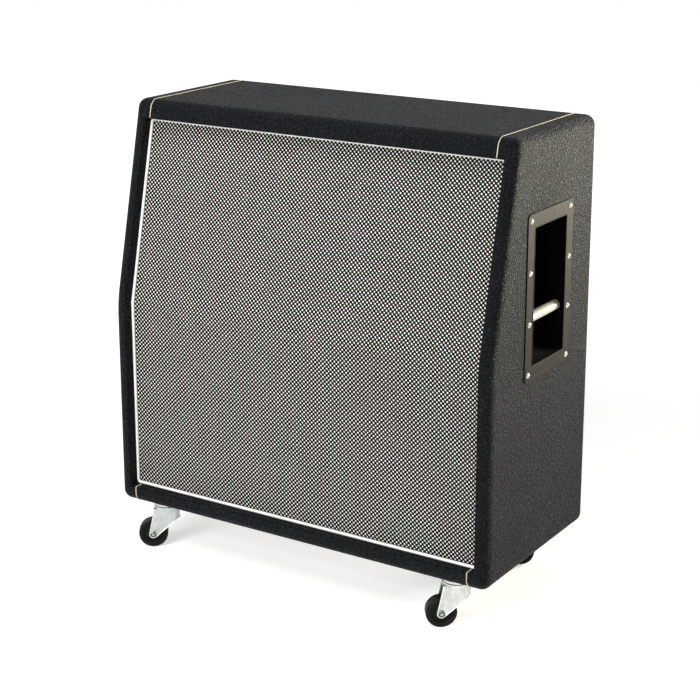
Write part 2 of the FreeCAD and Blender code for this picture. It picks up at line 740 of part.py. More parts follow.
handle_cup_width = handle_plate_width - 2 * handle_flange_side
handle_cup_height = handle_plate_height - 2 * handle_flange_end
handle_screw_columns = handle_plate_width - 2 * handle_screw_inset
handle_screw_pitch = (handle_plate_height - 2 * handle_screw_inset) / (handle_screw_rows - 1)
y_handle = y_front + handle_y
z_handle = z_floor + handle_z
y_cup_low = y_handle - handle_cup_width / 2
y_cup_high = y_handle + handle_cup_width / 2
z_cup_low = z_handle - handle_cup_height / 2
z_cup_high = z_handle + handle_cup_height / 2
x_plate = half_width + handle_sheet_t


def cup(grow):
    """Scooped hollow of the handle, grown by the sheet or by a clearance, open at the flange."""
    reach = handle_cup_depth + grow
    deep = half_width - reach
    low = z_cup_low - grow
    high = z_cup_high + grow
    y_low = y_cup_low - grow
    middle = half_width - reach * math.sqrt(0.5)
    z_middle = low + reach * (1 - math.sqrt(0.5))
    scoop = Part.Arc(Vector(deep, y_low, low + reach), Vector(middle, y_low, z_middle),
                     Vector(half_width, y_low, low)).toShape()
    corners = [Vector(half_width, y_low, low), Vector(half_width, y_low, high), Vector(deep, y_low, high),
               Vector(deep, y_low, low + reach)]
    runs = [Part.LineSegment(corners[k], corners[k + 1]).toShape() for k in range(3)]
    hollow = Part.Face(Part.Wire(runs + [scoop])).extrude(Vector(0, handle_cup_width + 2 * grow, 0))
    rounded = [edge for edge in hollow.Edges
               if edge.BoundBox.XMin < half_width - 1 and abs(edge.CenterOfMass.x - half_width) > 1]
    kept = [edge for edge in rounded if not (edge.BoundBox.YLength > 1 and edge.CenterOfMass.z < z_handle)]
    return hollow.makeFillet(handle_cup_round + grow, kept)


mouth = block((half_width - handle_mouth_lap, y_cup_low, z_cup_low),
              (x_plate + cut_spare, y_cup_high, z_cup_high))
flange = block((half_width, y_handle - handle_plate_width / 2, z_handle - handle_plate_height / 2),
               (x_plate, y_handle + handle_plate_width / 2, z_handle + handle_plate_height / 2))
flange_corners = [edge for edge in flange.Edges if edge.BoundBox.XLength > 0.5]
flange = flange.makeFillet(handle_plate_corner, flange_corners)
dish = flange.fuse(cup(handle_sheet_t)).cut(cup(0.0)).cut(mouth).removeSplitter()

x_grip = half_width - handle_grip_depth
z_grip = z_handle - handle_grip_drop
grip_start = Vector(x_grip, y_cup_low + handle_grip_gap, z_grip)
grip_length = handle_cup_width - 2 * handle_grip_gap
grip = Part.makeCylinder(handle_grip_d / 2, grip_length, grip_start, backward)
grip_bore = Part.makeCylinder(handle_bar_d / 2 + handle_bar_gap, grip_length, grip_start, backward)
bar_start = Vector(x_grip, y_cup_low - handle_sheet_t, z_grip)
bar = Part.makeCylinder(handle_bar_d / 2, handle_cup_width + 2 * handle_sheet_t, bar_start, backward)
dish = dish.cut(bar)
grip = grip.cut(grip_bore)

outward = Vector(1, 0, 0)
handle_fixings = []
handle_drills = []
handle_hole_d = handle_screw_shank_d + 2 * screw_hole_gap
for y in (-handle_screw_columns / 2, handle_screw_columns / 2):
    for k in range(handle_screw_rows):
        z = (k - (handle_screw_rows - 1) / 2) * handle_screw_pitch
        place = Vector(x_plate, y_handle + y, z_handle + z)
        handle_fixings.append(screw(handle_screw_head_d, handle_screw_head_h, handle_screw_shank_d,
                                    handle_screw_length, place, outward))
        handle_drills.append(drill(handle_hole_d, handle_screw_length, place, outward))
handle_holes = Part.makeCompound(handle_drills)
dish = dish.cut(handle_holes)
cutout_grow = handle_sheet_t + handle_cutout_gap
cutout = block((half_open - cut_reach, y_cup_low - cutout_grow, z_cup_low - cutout_grow),
               (half_width + cut_reach, y_cup_high + cutout_grow, z_cup_high + cutout_grow))
side_board = side_board.cut(cutout).cut(handle_holes)
side_skin = side_skin.cut(cutout).cut(handle_holes)
paired = {"handle_dish": dish, "side_panel": side_board, "vinyl": side_skin, "handle_grip": grip}
for name, solid in paired.items():
    nodes[name + "_right"] = [solid]
    nodes[name + "_left"] = [mirrored(solid)]
nodes["handle_bars"] = [bar, mirrored(bar)]
nodes["handle_screws"] = handle_fixings + [mirrored(solid) for solid in handle_fixings]

# One caster about its swivel axis, trailing towards +X

z_flange = caster_height - socket_flange_t
z_top_race = z_flange - top_race_t
z_race = z_top_race - race_gap
z_crown_top = z_race - race_t
z_crown = z_crown_top - fork_crown_t
z_axle = wheel_d / 2
fork_inside = wheel_width / 2 + hub_proud + hub_gap
fork_outside = fork_inside + fork_t
upright = Vector(0, 0, 1)


def post(diameter, low, high):
    """Upright cylinder on the swivel axis."""
    return Part.makeCylinder(diameter / 2, high - low, Vector(0, 0, low), upright)


def tangent_point(point, centre, radius, side):
    """Where a line from a point touches a circle, on the chosen side, in the XZ plane."""
    away = (point[0] - centre[0], point[1] - centre[1])
    angle = math.atan2(away[1], away[0]) + side * math.acos(radius / math.hypot(*away))
    return centre[0] + radius * math.cos(angle), centre[1] + radius * math.sin(angle)


def caster():
    """Solids of one caster, by the piece's name."""
    z_socket_top = z_flange + socket_length
    socket = post(socket_flange_d, z_flange, caster_height).fuse(post(socket_d, z_flange, z_socket_top))
    bore = post(stem_d + 2 * stem_gap, z_flange - cut_spare, z_socket_top + cut_spare)
    socket = socket.cut(bore).removeSplitter()
    track = Part.makeTorus(ball_circle_d / 2, ball_d / 2 + ball_gap, Vector(0, 0, z_race + race_gap / 2))
    stem = post(top_race_d, z_top_race, z_flange).cut(track)
    stem = stem.fuse([post(stem_d, z_flange, z_flange + stem_length),
                      post(king_pin_d, z_crown - cut_spare, z_top_race),
                      post(king_head_d, z_crown - king_head_gap - king_head_t, z_crown - king_head_gap)])
    balls = []
    band = math.pi / ball_bands
    arc = [(ball_d / 2 * math.sin(band * k), ball_d / 2 * math.cos(band * k)) for k in range(1, ball_bands)]
    ball = turned([(0, ball_d / 2)] + arc + [(0, -ball_d / 2)])
    for k in range(ball_count):
        angle = 2 * math.pi * k / ball_count
        r = ball_circle_d / 2
        balls.append(ball.translated(Vector(r * math.cos(angle), r * math.sin(angle), z_race + race_gap / 2)))

    back_x = fork_outside - race_d / 2
    eye = (caster_trail, z_axle)
    low = z_axle - fork_eye_r - cut_spare
    long = caster_trail + fork_eye_r + cut_spare
    shell = block((back_x, -fork_outside, low), (long, fork_outside, z_crown_top))
    shell = shell.fuse(Part.makeCylinder(fork_outside, z_crown_top - low, Vector(back_x, 0, low), upright))
    under = low - cut_spare
    room = block((back_x, -fork_inside, under), (long + cut_spare, fork_inside, z_crown))
    room = room.fuse(Part.makeCylinder(fork_inside, z_crown - under, Vector(back_x, 0, under), upright))
    shell = shell.cut(room)
    front_top = (race_d / 2, z_crown_top)
    rear_low = (fork_eye_r / 2 - race_d / 2, z_crown_top - fork_rear_drop)
    behind = -race_d / 2 - cut_spare
    side_view = [(behind, z_crown_top), front_top, tangent_point(front_top, eye, fork_eye_r, -1), eye,
                 tangent_point(rear_low, eye, fork_eye_r, 1), rear_low,
                 (behind, rear_low[1] + fork_rear_rise)]
    corners = [Vector(x, -race_d, z) for x, z in side_view]
    web = Part.Face(Part.makePolygon(corners + corners[:1])).extrude(Vector(0, 2 * race_d, 0))
    web = web.fuse(Part.makeCylinder(fork_eye_r, 2 * race_d, Vector(caster_trail, -race_d, z_axle), backward))
    fork = shell.common(web).fuse(post(race_d, z_crown, z_race)).removeSplitter()
    fork = fork.cut(post(king_pin_d + 2 * king_pin_gap, z_crown - cut_reach, z_race + cut_reach)).cut(track)
    axle_start = Vector(caster_trail, -fork_outside, z_axle)
    axle = Part.makeCylinder(axle_d / 2, 2 * fork_outside, axle_start, backward)
    fork = fork.cut(axle)
    for y, away in ((-fork_outside, -1), (fork_outside, 1)):
        centre = Vector(caster_trail, y, z_axle)
        axle = axle.fuse(Part.makeCylinder(axle_head_d / 2, axle_head_h, centre, Vector(0, away, 0)))

    half = wheel_width / 2
    r = wheel_d / 2
    bore = axle_d / 2 + axle_gap
    tread = r - wheel_tread
    near = [(bore, half + hub_proud), (hub_d / 2, half + hub_proud), (hub_d / 2 + hub_slope, half - hub_root),
            (tread - wheel_dish_slope, half - wheel_dish), (tread, half), (r - wheel_round, half),
            (r, half - wheel_round)]
    wheel = turned(near + [(radius, -y) for radius, y in reversed(near)])
    wheel = wheel.translated(Vector(caster_trail, 0, z_axle))
    return {"sockets": [socket], "stems": [stem.removeSplitter()], "balls": balls,
            "fork": [fork], "axle": [axle.removeSplitter()], "wheel": [wheel]}


common = {"sockets": [], "stems": [], "balls": []}
socket_bores = []
for name, angle in caster_angles.items():
    side = -1 if name.endswith("left") else 1
    end = -1 if name.startswith("front") else 1
    x = side * (half_width - caster_inset_x)
    y = end * (cab_depth / 2 - caster_inset_y)
    place = FreeCAD.Placement(Vector(x, y, 0), FreeCAD.Rotation(upright, angle))
    for piece, solids in caster().items():
        moved = [solid.transformGeometry(place.toMatrix()) for solid in solids]
        if piece in common:
            common[piece] += moved
        else:
            nodes["caster_" + name + "_" + piece] = moved
    bore = post(socket_d + 2 * socket_gap, z_floor - cut_reach, z_inner_low)
    socket_bores.append(bore.translated(Vector(x, y, 0)))
for piece, solids in common.items():
    nodes["caster_" + piece] = solids
bores = Part.makeCompound(socket_bores)
nodes["top_panel"] = [top_board]
nodes["bottom_panel"] = [bottom_board.cut(bores)]
nodes["vinyl_top"] = [top_skin]
nodes["vinyl_bottom"] = [bottom_skin.cut(bores)]

# One file for each node

os.makedirs("parts", exist_ok=True)
for name, pieces in nodes.items():
    solids = []
    for piece in pieces:
        solids += piece.Solids
    shape = solids[0] if len(solids) == 1 else Part.makeCompound(solids)
    if not shape.isValid():
        print("not valid:", name)
    shape.exportStep("parts/" + name + ".step")
print(len(nodes), "nodes")
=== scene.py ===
import bmesh
import bpy
import json
import math
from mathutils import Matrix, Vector


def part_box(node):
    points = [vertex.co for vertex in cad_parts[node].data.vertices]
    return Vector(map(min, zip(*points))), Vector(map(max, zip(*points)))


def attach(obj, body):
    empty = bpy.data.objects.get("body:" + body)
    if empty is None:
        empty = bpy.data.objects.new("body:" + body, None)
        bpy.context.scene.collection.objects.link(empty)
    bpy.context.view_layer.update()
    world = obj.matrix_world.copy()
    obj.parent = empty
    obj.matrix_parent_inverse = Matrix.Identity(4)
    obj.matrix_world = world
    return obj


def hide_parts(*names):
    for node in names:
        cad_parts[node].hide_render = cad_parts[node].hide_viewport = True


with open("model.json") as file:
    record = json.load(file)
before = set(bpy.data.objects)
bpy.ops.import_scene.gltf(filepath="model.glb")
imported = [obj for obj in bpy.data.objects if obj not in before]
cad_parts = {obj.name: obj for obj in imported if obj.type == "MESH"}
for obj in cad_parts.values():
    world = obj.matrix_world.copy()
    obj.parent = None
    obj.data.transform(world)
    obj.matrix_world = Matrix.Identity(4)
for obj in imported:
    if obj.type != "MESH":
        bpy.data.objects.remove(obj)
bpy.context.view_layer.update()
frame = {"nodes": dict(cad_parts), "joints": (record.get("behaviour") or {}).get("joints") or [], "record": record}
scene = bpy.context.scene
joints = {joint["name"]: joint for joint in frame["joints"]}

# Sizes in metres, as in the part's source
CAB_DEPTH = 0.370
TOP_DEPTH = 0.290
CAB_HEIGHT = 0.740
BEND_HEIGHT = 0.380
UNDERSIDE = 0.090
FRONT_RECESS = 0.0225
BAFFLE_BACK = 0.0415
CLOTH_HALF = 0.3585
CLOTH_FOOT = 0.0315
CLOTH_CREST = 0.7045
FLANGE_FACE = 0.3866
HANDLE_PLATE_CORNER = 0.0080
HANDLE_SCREW_INSET = 0.0113
HANDLE_FLANGE_SIDE = 0.0245
HANDLE_FLANGE_END = 0.0240
JACK_SCREW_INSET = 0.0080
WHEEL_D = 0.054
WHEEL_WIDTH = 0.020
CASTER_TRAIL = 0.026
FORK_EYE_R = 0.008
FORK_CROWN_R = 0.0235
FORK_TOP = 0.077
FORK_REAR_DROP = 0.0205
FORK_OUTSIDE = 0.0137
AXLE_HEAD = 0.0024

# Light checks of the weave: pitch, half width as a share of it, slant, and heights above the cloth
CHECK = 0.0039
CHECK_SHARE = 0.322
CHECK_SLANT = 0.05
CHECK_CROWN = 0.00042
CHECK_SIDE = 0.00026
CHECK_CORNER = 0.00004
CHECK_LIFT = 0.00005
CHECK_SWING = 0.03
SWING_SEED = 3
SIZE_SEED = 5
LARGER_CHECKS = ((1.04, 1.06, 0.9), (1.1, 1.12, 1.1))
SMALLER_CHECKS = ((0.9, 0.94, 0.8), (0.96, 1.0, 1.0))
CLOTH_COLUMNS = 80
CLOTH_STEPS = 40

# Heads, nuts and beads that the scene adds, in metres, and the turn from one head to the next
HEAD_SPIN = 0.9
HANDLE_SCREW_R = 0.005
HANDLE_SCREW_RISE = 0.0028
REAR_SCREW_R = 0.0045
REAR_SCREW_RISE = 0.0022
AXLE_HEAD_R = 0.006
AXLE_HEAD_RISE = 0.0014
# Black bead in the face of each axle head: a ring of painted shade
AXLE_SHADE_RING_R = 0.0039
AXLE_SHADE_RING_BEAD = 0.0011
AXLE_SHADE_RING_LIFT = 0.0004
NUT_FLATS = 0.0152
NUT_HEIGHT = 0.0031
NUT_BORE_R = 0.0035
LIP_BEAD = 0.0014
LIP_CORNER = 0.003
# Black bead round each handle plate: a line of painted shade along its edge
SHADE_RIM_BEAD = 0.0014
SHADE_RIM_DROP = 0.0019
FORK_BEAD = 0.0008

CLOTH_LOW = UNDERSIDE + CLOTH_FOOT
CLOTH_HIGH = UNDERSIDE + CLOTH_CREST
y_front = -CAB_DEPTH / 2
z_bend = UNDERSIDE + BEND_HEIGHT
rise = CAB_HEIGHT - BEND_HEIGHT
setback = CAB_DEPTH - TOP_DEPTH
slope = math.hypot(rise, setback)
slope_y = setback / slope
slope_z = rise / slope


def bend_point(inset):
    """Y and Z of the front's bend, this far inside the front."""
    along = inset * (1 - slope_z) / slope_y
    return y_front + inset, z_bend - slope_y * inset + slope_z * along


def slant_y(z, inset):
    """Y of the slanted front at height z, this far inside the front."""
    along = (z - z_bend + slope_y * inset) / slope_z
    return y_front + slope_z * inset + slope_y * along


# Node helpers

# Sockets of a Mix node that is set to colours
MIX_COLOUR_A = 6
MIX_COLOUR_B = 7
MIX_COLOUR_OUT = 2
# Range that holds most values of a Noise texture
NOISE_LOW = 0.3
NOISE_HIGH = 0.7


def add(tree, kind, settings=None, values=None):
    """New node with its settings and its inputs, each of them a value or another node's socket."""
    node = tree.nodes.new(kind)
    for name, value in (settings or {}).items():
        setattr(node, name, value)
    for name, value in (values or {}).items():
        if isinstance(value, bpy.types.NodeSocket):
            tree.links.new(value, node.inputs[name])
        else:
            node.inputs[name].default_value = value
    return node


def math_node(tree, operation, a, b=0.0):
    """Result of a Math node."""
    return add(tree, "ShaderNodeMath", {"operation": operation}, {0: a, 1: b}).outputs[0]


def times(tree, a, b):
    """Product of two values."""
    return math_node(tree, "MULTIPLY", a, b)


def shares(tree, a, share_a, b, share_b):
    """Sum of two values, each times its share."""
    return math_node(tree, "ADD", times(tree, a, share_a), times(tree, b, share_b))


def remap(tree, value, low, high, new_low, new_high):
    """Result of a smooth Map Range node."""
    node = add(tree, "ShaderNodeMapRange", {"interpolation_type": "SMOOTHSTEP"},
               {0: value, 1: low, 2: high, 3: new_low, 4: new_high})
    return node.outputs[0]


def colour_mix(tree, factor, dark, light):
    """Colour between two others."""
    node = add(tree, "ShaderNodeMix", {"data_type": "RGBA"},
               {0: factor, MIX_COLOUR_A: (*dark, 1), MIX_COLOUR_B: (*light, 1)})
    return node.outputs[MIX_COLOUR_OUT]


def vector_node(tree, operation, vector, values=None):
    """Vector Math node on a vector."""
    return add(tree, "ShaderNodeVectorMath", {"operation": operation}, {0: vector} | (values or {}))


def noise(tree, vector, scale, detail=3.0, rough=0.55):
    """Factor of a Noise texture."""
    node = add(tree, "ShaderNodeTexNoise", None,
               {"Vector": vector, "Scale": scale, "Detail": detail, "Roughness": rough})
    return node.outputs["Fac"]


def bands(tree, vector, scale, direction, distortion, detail=2.0):
    """Factor of a Wave texture of bands."""
    node = add(tree, "ShaderNodeTexWave", {"wave_type": "BANDS", "bands_direction": direction},
               {"Vector": vector, "Scale": scale, "Distortion": distortion, "Detail": detail})
    return node.outputs["Fac"]


def cells(tree, vector, scale):
    """Rounded cells: zero on the edges between them and one inside."""
    crease = 0.3
    node = add(tree, "ShaderNodeTexVoronoi", {"feature": "DISTANCE_TO_EDGE"},
               {"Vector": vector, "Scale": scale})
    return remap(tree, node.outputs["Distance"], 0.0, crease, 0.0, 1.0)


def clouds(tree, factor):
    """Noise drawn together to slight changes of tone."""
    dimmest = 0.75
    return remap(tree, factor, NOISE_LOW, NOISE_HIGH, dimmest, 1.0)


def spread_out(tree, factor):
    """Noise drawn apart to the whole range from zero to one."""
    return remap(tree, factor, NOISE_LOW, NOISE_HIGH, 0.0, 1.0)


# Patterns of the finishes, each a shader group


def pattern_group(name, fill):
    """Shader group with Vector and Scale in and Fac and Height out, filled by a function."""
    tree = bpy.data.node_groups.new(name, "ShaderNodeTree")
    tree.interface.new_socket("Vector", in_out="INPUT", socket_type="NodeSocketVector")
    tree.interface.new_socket("Scale", in_out="INPUT", socket_type="NodeSocketFloat")
    tree.interface.new_socket("Fac", in_out="OUTPUT", socket_type="NodeSocketFloat")
    tree.interface.new_socket("Height", in_out="OUTPUT", socket_type="NodeSocketFloat")
    entry = tree.nodes.new("NodeGroupInput")
    leave = tree.nodes.new("NodeGroupOutput")
    fac, height = fill(tree, entry.outputs["Vector"], entry.outputs["Scale"])
    tree.links.new(fac, leave.inputs["Fac"])
    tree.links.new(height, leave.inputs["Height"])
    return tree


def levant(tree, vector, scale):
    """Pebbled vinyl: rounded pebbles with creases between them, and a finer grain over both."""
    wander_scale = 0.7
    wander_reach = 0.006
    grain_scale = 2.6
    cloud_scale = 9.0
    wander = add(tree, "ShaderNodeTexNoise", None,
                 {"Vector": vector, "Scale": times(tree, scale, wander_scale)})
    push = vector_node(tree, "SCALE", wander.outputs["Color"], {"Scale": wander_reach})
    moved = vector_node(tree, "ADD", vector, {1: push.outputs[0]}).outputs[0]
    pebbles = cells(tree, moved, scale)
    grain = cells(tree, moved, times(tree, scale, grain_scale))
    height = shares(tree, pebbles, 0.7, grain, 0.3)
    return times(tree, height, clouds(tree, noise(tree, vector, cloud_scale))), height


def mottle(tree, vector, scale):
    """Slight unevenness of paint and moulded plastic."""
    broad_scale = 0.08
    fine = noise(tree, vector, scale, detail=4.0, rough=0.6)
    broad = noise(tree, vector, times(tree, scale, broad_scale), detail=2.0)
    return spread_out(tree, shares(tree, fine, 0.4, broad, 0.6)), fine


def brushed(tree, vector, scale):
    """Plated sheet metal: faint drawn lines and cloudy plating."""
    drawn_out = (1.0, 1.0, 0.06)
    plating_scale = 0.12
    drawn = vector_node(tree, "MULTIPLY", vector, {1: drawn_out}).outputs[0]
    lines = noise(tree, drawn, scale, detail=3.0, rough=0.7)
    plating = noise(tree, vector, times(tree, scale, plating_scale), detail=3.0)
    return spread_out(tree, shares(tree, lines, 0.45, plating, 0.55)), lines


def woodgrain(tree, vector, scale):
    """Long fibres with darker bands."""
    drawn_out = (0.08, 1.0, 1.0)
    ring_scale = 0.2
    drawn = vector_node(tree, "MULTIPLY", vector, {1: drawn_out}).outputs[0]
    rings = bands(tree, drawn, times(tree, scale, ring_scale), "Z", distortion=6.0, detail=3.0)
    fibre = noise(tree, drawn, scale, detail=5.0, rough=0.7)
    return shares(tree, rings, 0.5, fibre, 0.5), fibre


def strands(tree, vector, scale):
    """Twisted yarn: slanted ridges along a cord."""
    fuzz_scale = 3.0
    ridges = bands(tree, vector, scale, "DIAGONAL", distortion=0.6, detail=1.0)
    fuzz = noise(tree, vector, times(tree, scale, fuzz_scale), detail=2.0)
    return shares(tree, ridges, 0.7, fuzz, 0.3), ridges


def threads(tree, vector, scale):
    """Fine crossing threads of a plain weave."""
    cloud_scale = 40.0
    across = bands(tree, vector, scale, "X", distortion=0.4)
    along = bands(tree, vector, scale, "Z", distortion=0.4)
    height = math_node(tree, "MAXIMUM", across, along)
    return times(tree, height, clouds(tree, noise(tree, vector, cloud_scale, detail=2.0))), height


def black_pressing_with_painted_sheen(tree, vector, scale):
    """Black pressing, dull on its rim and in its hollow, with a painted sheen of satin lighter brown on the face
    of its flange.
    """
    sheen_start = FLANGE_FACE - 0.0005
    sheen_full = FLANGE_FACE - 0.0001
    fac, height = mottle(tree, vector, scale)
    out = add(tree, "ShaderNodeSeparateXYZ", None, {0: vector}).outputs["X"]
    # Mask of the painted sheen: one on the flange's face, zero on its rim and in its hollow
    face = remap(tree, math_node(tree, "ABSOLUTE", out), sheen_start, sheen_full, 0.0, 1.0)
    uneven = math_node(tree, "ADD", times(tree, fac, 0.3), 0.7)
    return times(tree, uneven, face), height


groups = {fill.__name__: pattern_group(fill.__name__, fill)
          for fill in (levant, mottle, brushed, woodgrain, strands, threads, black_pressing_with_painted_sheen)}


def surface(name, pattern, scale, dark, light, rough, bump, depth, constants=None):
    """Material whose colour, roughness and bump follow one pattern."""
    made = bpy.data.materials.new(name)
    made.use_nodes = True
    tree = made.node_tree
    shader = tree.nodes["Principled BSDF"]
    place = add(tree, "ShaderNodeTexCoord").outputs["Object"]
    detail = add(tree, "ShaderNodeGroup", {"node_tree": groups[pattern]}, {"Vector": place, "Scale": scale})
    fac = detail.outputs["Fac"]
    tree.links.new(colour_mix(tree, fac, dark, light), shader.inputs["Base Color"])
    tree.links.new(remap(tree, fac, 0.0, 1.0, rough[0], rough[1]), shader.inputs["Roughness"])
    relief = add(tree, "ShaderNodeBump", None,
                 {"Height": detail.outputs["Height"], "Strength": bump, "Distance": depth})
    tree.links.new(relief.outputs["Normal"], shader.inputs["Normal"])
    for socket, value in (constants or {}).items():
        shader.inputs[socket].default_value = value
    return made


# Finishes: pattern and its scale, darkest and lightest colour, roughness of each, and relief

METAL = {"Metallic": 1.0}
SPECULAR = "Specular IOR Level"
looks = {
    "vinyl": surface(
        "vinyl", "levant", 170.0, (0.0015, 0.0017, 0.0023), (0.0193, 0.0205, 0.0258), (0.64, 0.44),
        bump=1.0, depth=0.003, constants={SPECULAR: 0.08}),
    "grille_cloth": surface(
        "cloth_black", "threads", 620.0, (0.002, 0.002, 0.002), (0.012, 0.012, 0.011), (0.9, 0.8),
        bump=0.5, depth=0.0004, constants={SPECULAR: 0.1}),
    "cloth_light": surface(
        "cloth_light", "threads", 620.0, (0.72, 0.712, 0.672), (0.92, 0.91, 0.86), (0.85, 0.75),
        bump=0.5, depth=0.0004, constants={SPECULAR: 0.2}),
    "white_piping": surface(
        "white_piping", "mottle", 300.0, (0.88, 0.875, 0.85), (0.97, 0.965, 0.945), (0.38, 0.28),
        bump=0.1, depth=0.0003),
    "seam_cord": surface(
        "seam_cord", "strands", 420.0, (0.6, 0.53, 0.38), (0.94, 0.87, 0.69), (0.7, 0.5),
        bump=0.8, depth=0.0004),
    # Black dish; its lighter brown colour is a painted sheen on the flange's face
    "handle_dish": surface(
        "handle_dish", "black_pressing_with_painted_sheen", 900.0, (0.002, 0.002, 0.002), (0.026, 0.0205, 0.016), (0.7, 0.55),
        bump=0.25, depth=0.0002, constants={SPECULAR: 0.04}),
    "cream_grip": surface(
        "cream_grip", "mottle", 260.0, (0.4, 0.37, 0.3), (0.52, 0.485, 0.4), (0.42, 0.3),
        bump=0.12, depth=0.0003),
    "steel": surface(
        "steel", "brushed", 700.0, (0.42, 0.42, 0.43), (0.62, 0.62, 0.63), (0.45, 0.28),
        bump=0.1, depth=0.0001, constants=METAL),
    "nickel_screws": surface(
        "nickel_screws", "mottle", 900.0, (0.42, 0.4, 0.35), (0.66, 0.64, 0.58), (0.38, 0.2),
        bump=0.1, depth=0.0001, constants=METAL),
    "black_screws": surface(
        "black_screws", "mottle", 900.0, (0.015, 0.015, 0.016), (0.05, 0.05, 0.052), (0.5, 0.3),
        bump=0.1, depth=0.0001),
    # Near-black ring round each axle head: painted shade
    "axle_shade_ring": surface(
        "axle_shade_ring", "mottle", 900.0, (0.002, 0.002, 0.002), (0.008, 0.008, 0.008), (0.6, 0.45),
        bump=0.1, depth=0.0001, constants={SPECULAR: 0.1}),
    "jack_plate": surface(
        "jack_plate", "mottle", 800.0, (0.014, 0.014, 0.015), (0.03, 0.03, 0.032), (0.55, 0.4),
        bump=0.25, depth=0.0002),
    "jack_socket": surface(
        "jack_socket", "brushed", 900.0, (0.5, 0.5, 0.5), (0.72, 0.72, 0.71), (0.35, 0.2),
        bump=0.1, depth=0.0001, constants=METAL),
    "lead_insulation": surface(
        "lead_insulation", "mottle", 500.0, (0.24, 0.02, 0.02), (0.4, 0.05, 0.045), (0.5, 0.4),
        bump=0.1, depth=0.0002),
    "gasket_board": surface(
        "gasket_board", "mottle", 700.0, (0.16, 0.11, 0.07), (0.34, 0.26, 0.17), (0.95, 0.85),
        bump=0.5, depth=0.0004),
    "doped_cloth": surface(
        "doped_cloth", "threads", 500.0, (0.03, 0.022, 0.014), (0.12, 0.09, 0.06), (0.7, 0.5),
        bump=0.4, depth=0.0003),
    "basket_steel": surface(
        "basket_steel", "mottle", 600.0, (0.12, 0.125, 0.13), (0.2, 0.21, 0.215), (0.5, 0.38),
        bump=0.2, depth=0.0002),
    "magnet": surface(
        "magnet", "mottle", 500.0, (0.03, 0.03, 0.032), (0.075, 0.075, 0.08), (0.65, 0.45),
        bump=0.25, depth=0.0003),
    "paper_cone": surface(
        "paper_cone", "mottle", 900.0, (0.018, 0.017, 0.015), (0.06, 0.056, 0.05), (0.95, 0.85),
        bump=0.6, depth=0.0004),
    "plywood": surface(
        "plywood", "woodgrain", 160.0, (0.36, 0.23, 0.12), (0.68, 0.5, 0.3), (0.7, 0.55),
        bump=0.3, depth=0.0004),
    "zinc": surface(
        "zinc", "brushed", 520.0, (0.4, 0.42, 0.405), (0.56, 0.58, 0.56), (0.42, 0.3),
        bump=0.12, depth=0.0001, constants=METAL),
    # Lighter, smoother zinc on the forks' rolled edges: a painted highlight
    "zinc_painted_highlight": surface(
        "zinc_painted_highlight", "brushed", 900.0, (0.66, 0.68, 0.66), (0.84, 0.86, 0.84), (0.3, 0.2),
        bump=0.1, depth=0.0001, constants=METAL),
    "zinc_rivet": surface(
        "zinc_rivet", "brushed", 700.0, (0.26, 0.27, 0.26), (0.46, 0.47, 0.46), (0.4, 0.25),
        bump=0.12, depth=0.0001, constants=METAL),
    "bearing_steel": surface(
        "bearing_steel", "mottle", 900.0, (0.6, 0.6, 0.6), (0.75, 0.75, 0.75), (0.2, 0.12),
        bump=0.05, depth=0.0001, constants=METAL),
    "wheel_rubber": surface(
        "wheel_rubber", "mottle", 700.0, (0.002, 0.002, 0.002), (0.008, 0.008, 0.008), (0.5, 0.36),
        bump=0.2, depth=0.0002, constants={SPECULAR: 0.14}),
}
slots = {entry["node"]: entry["material_slot"] for entry in frame["record"]["subparts"]}
for node_name, node in frame["nodes"].items():
    node.data.materials.clear()
    node.data.materials.append(looks[slots[node_name]])


def piece(name, mesh, body, slot, replaced=()):
    """New object of the scene on a CAD body, with the material of a record slot unless it has its own."""
    made = bpy.data.objects.new(name, mesh)
    scene.collection.objects.link(made)
    if not mesh.materials:
        mesh.materials.append(looks[slot])
    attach(made, body)
    if replaced:
        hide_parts(*replaced)
    return made


def mesh_from(bm, name, crease=None):
    """Mesh of a bmesh, which is freed: flat, or smooth up to a crease angle in degrees."""
    mesh = bpy.data.meshes.new(name)
    bm.to_mesh(mesh)
    bm.free()
    if crease:
        mesh.set_sharp_from_angle(angle=math.radians(crease))
    for face in mesh.polygons:
        face.use_smooth = crease is not None
    return mesh


# Geometry Nodes trees for what repeats or follows a path


def node_tree(name, inputs):
    """Empty tree with named inputs, given as socket kinds by name, and the sockets of those inputs."""
    tree = bpy.data.node_groups.new(name, "GeometryNodeTree")
    for label, kind in inputs.items():
        tree.interface.new_socket(label, in_out="INPUT", socket_type="NodeSocket" + kind)
    tree.interface.new_socket("Geometry", in_out="OUTPUT", socket_type="NodeSocketGeometry")
    return tree, tree.nodes.new("NodeGroupInput").outputs


def end_tree(tree, geometry, paint):
    """Make the instances of a tree real, paint them and put them out."""
    real = add(tree, "GeometryNodeRealizeInstances", None, {"Geometry": geometry})
    painted = add(tree, "GeometryNodeSetMaterial", None, {"Geometry": real.outputs[0], "Material": paint})
    leave = tree.nodes.new("NodeGroupOutput")
    tree.links.new(painted.outputs[0], leave.inputs[0])


def grown(name, tree, base, values, body, slot, replaced=()):
    """Plain mesh piece that a tree makes on a base mesh with these values of its named inputs."""
    carrier = bpy.data.objects.new(name + "_base", base)
    scene.collection.objects.link(carrier)
    modifier = carrier.modifiers.new("tree", "NODES")
    modifier.node_group = tree
    for item in tree.interface.items_tree:
        if item.in_out == "INPUT" and item.name in values:
            modifier[item.identifier] = values[item.name]
    graph = bpy.context.evaluated_depsgraph_get()
    mesh = bpy.data.meshes.new_from_object(carrier.evaluated_get(graph))
    bpy.data.objects.remove(carrier)
    return piece(name, mesh, body, slot, replaced)


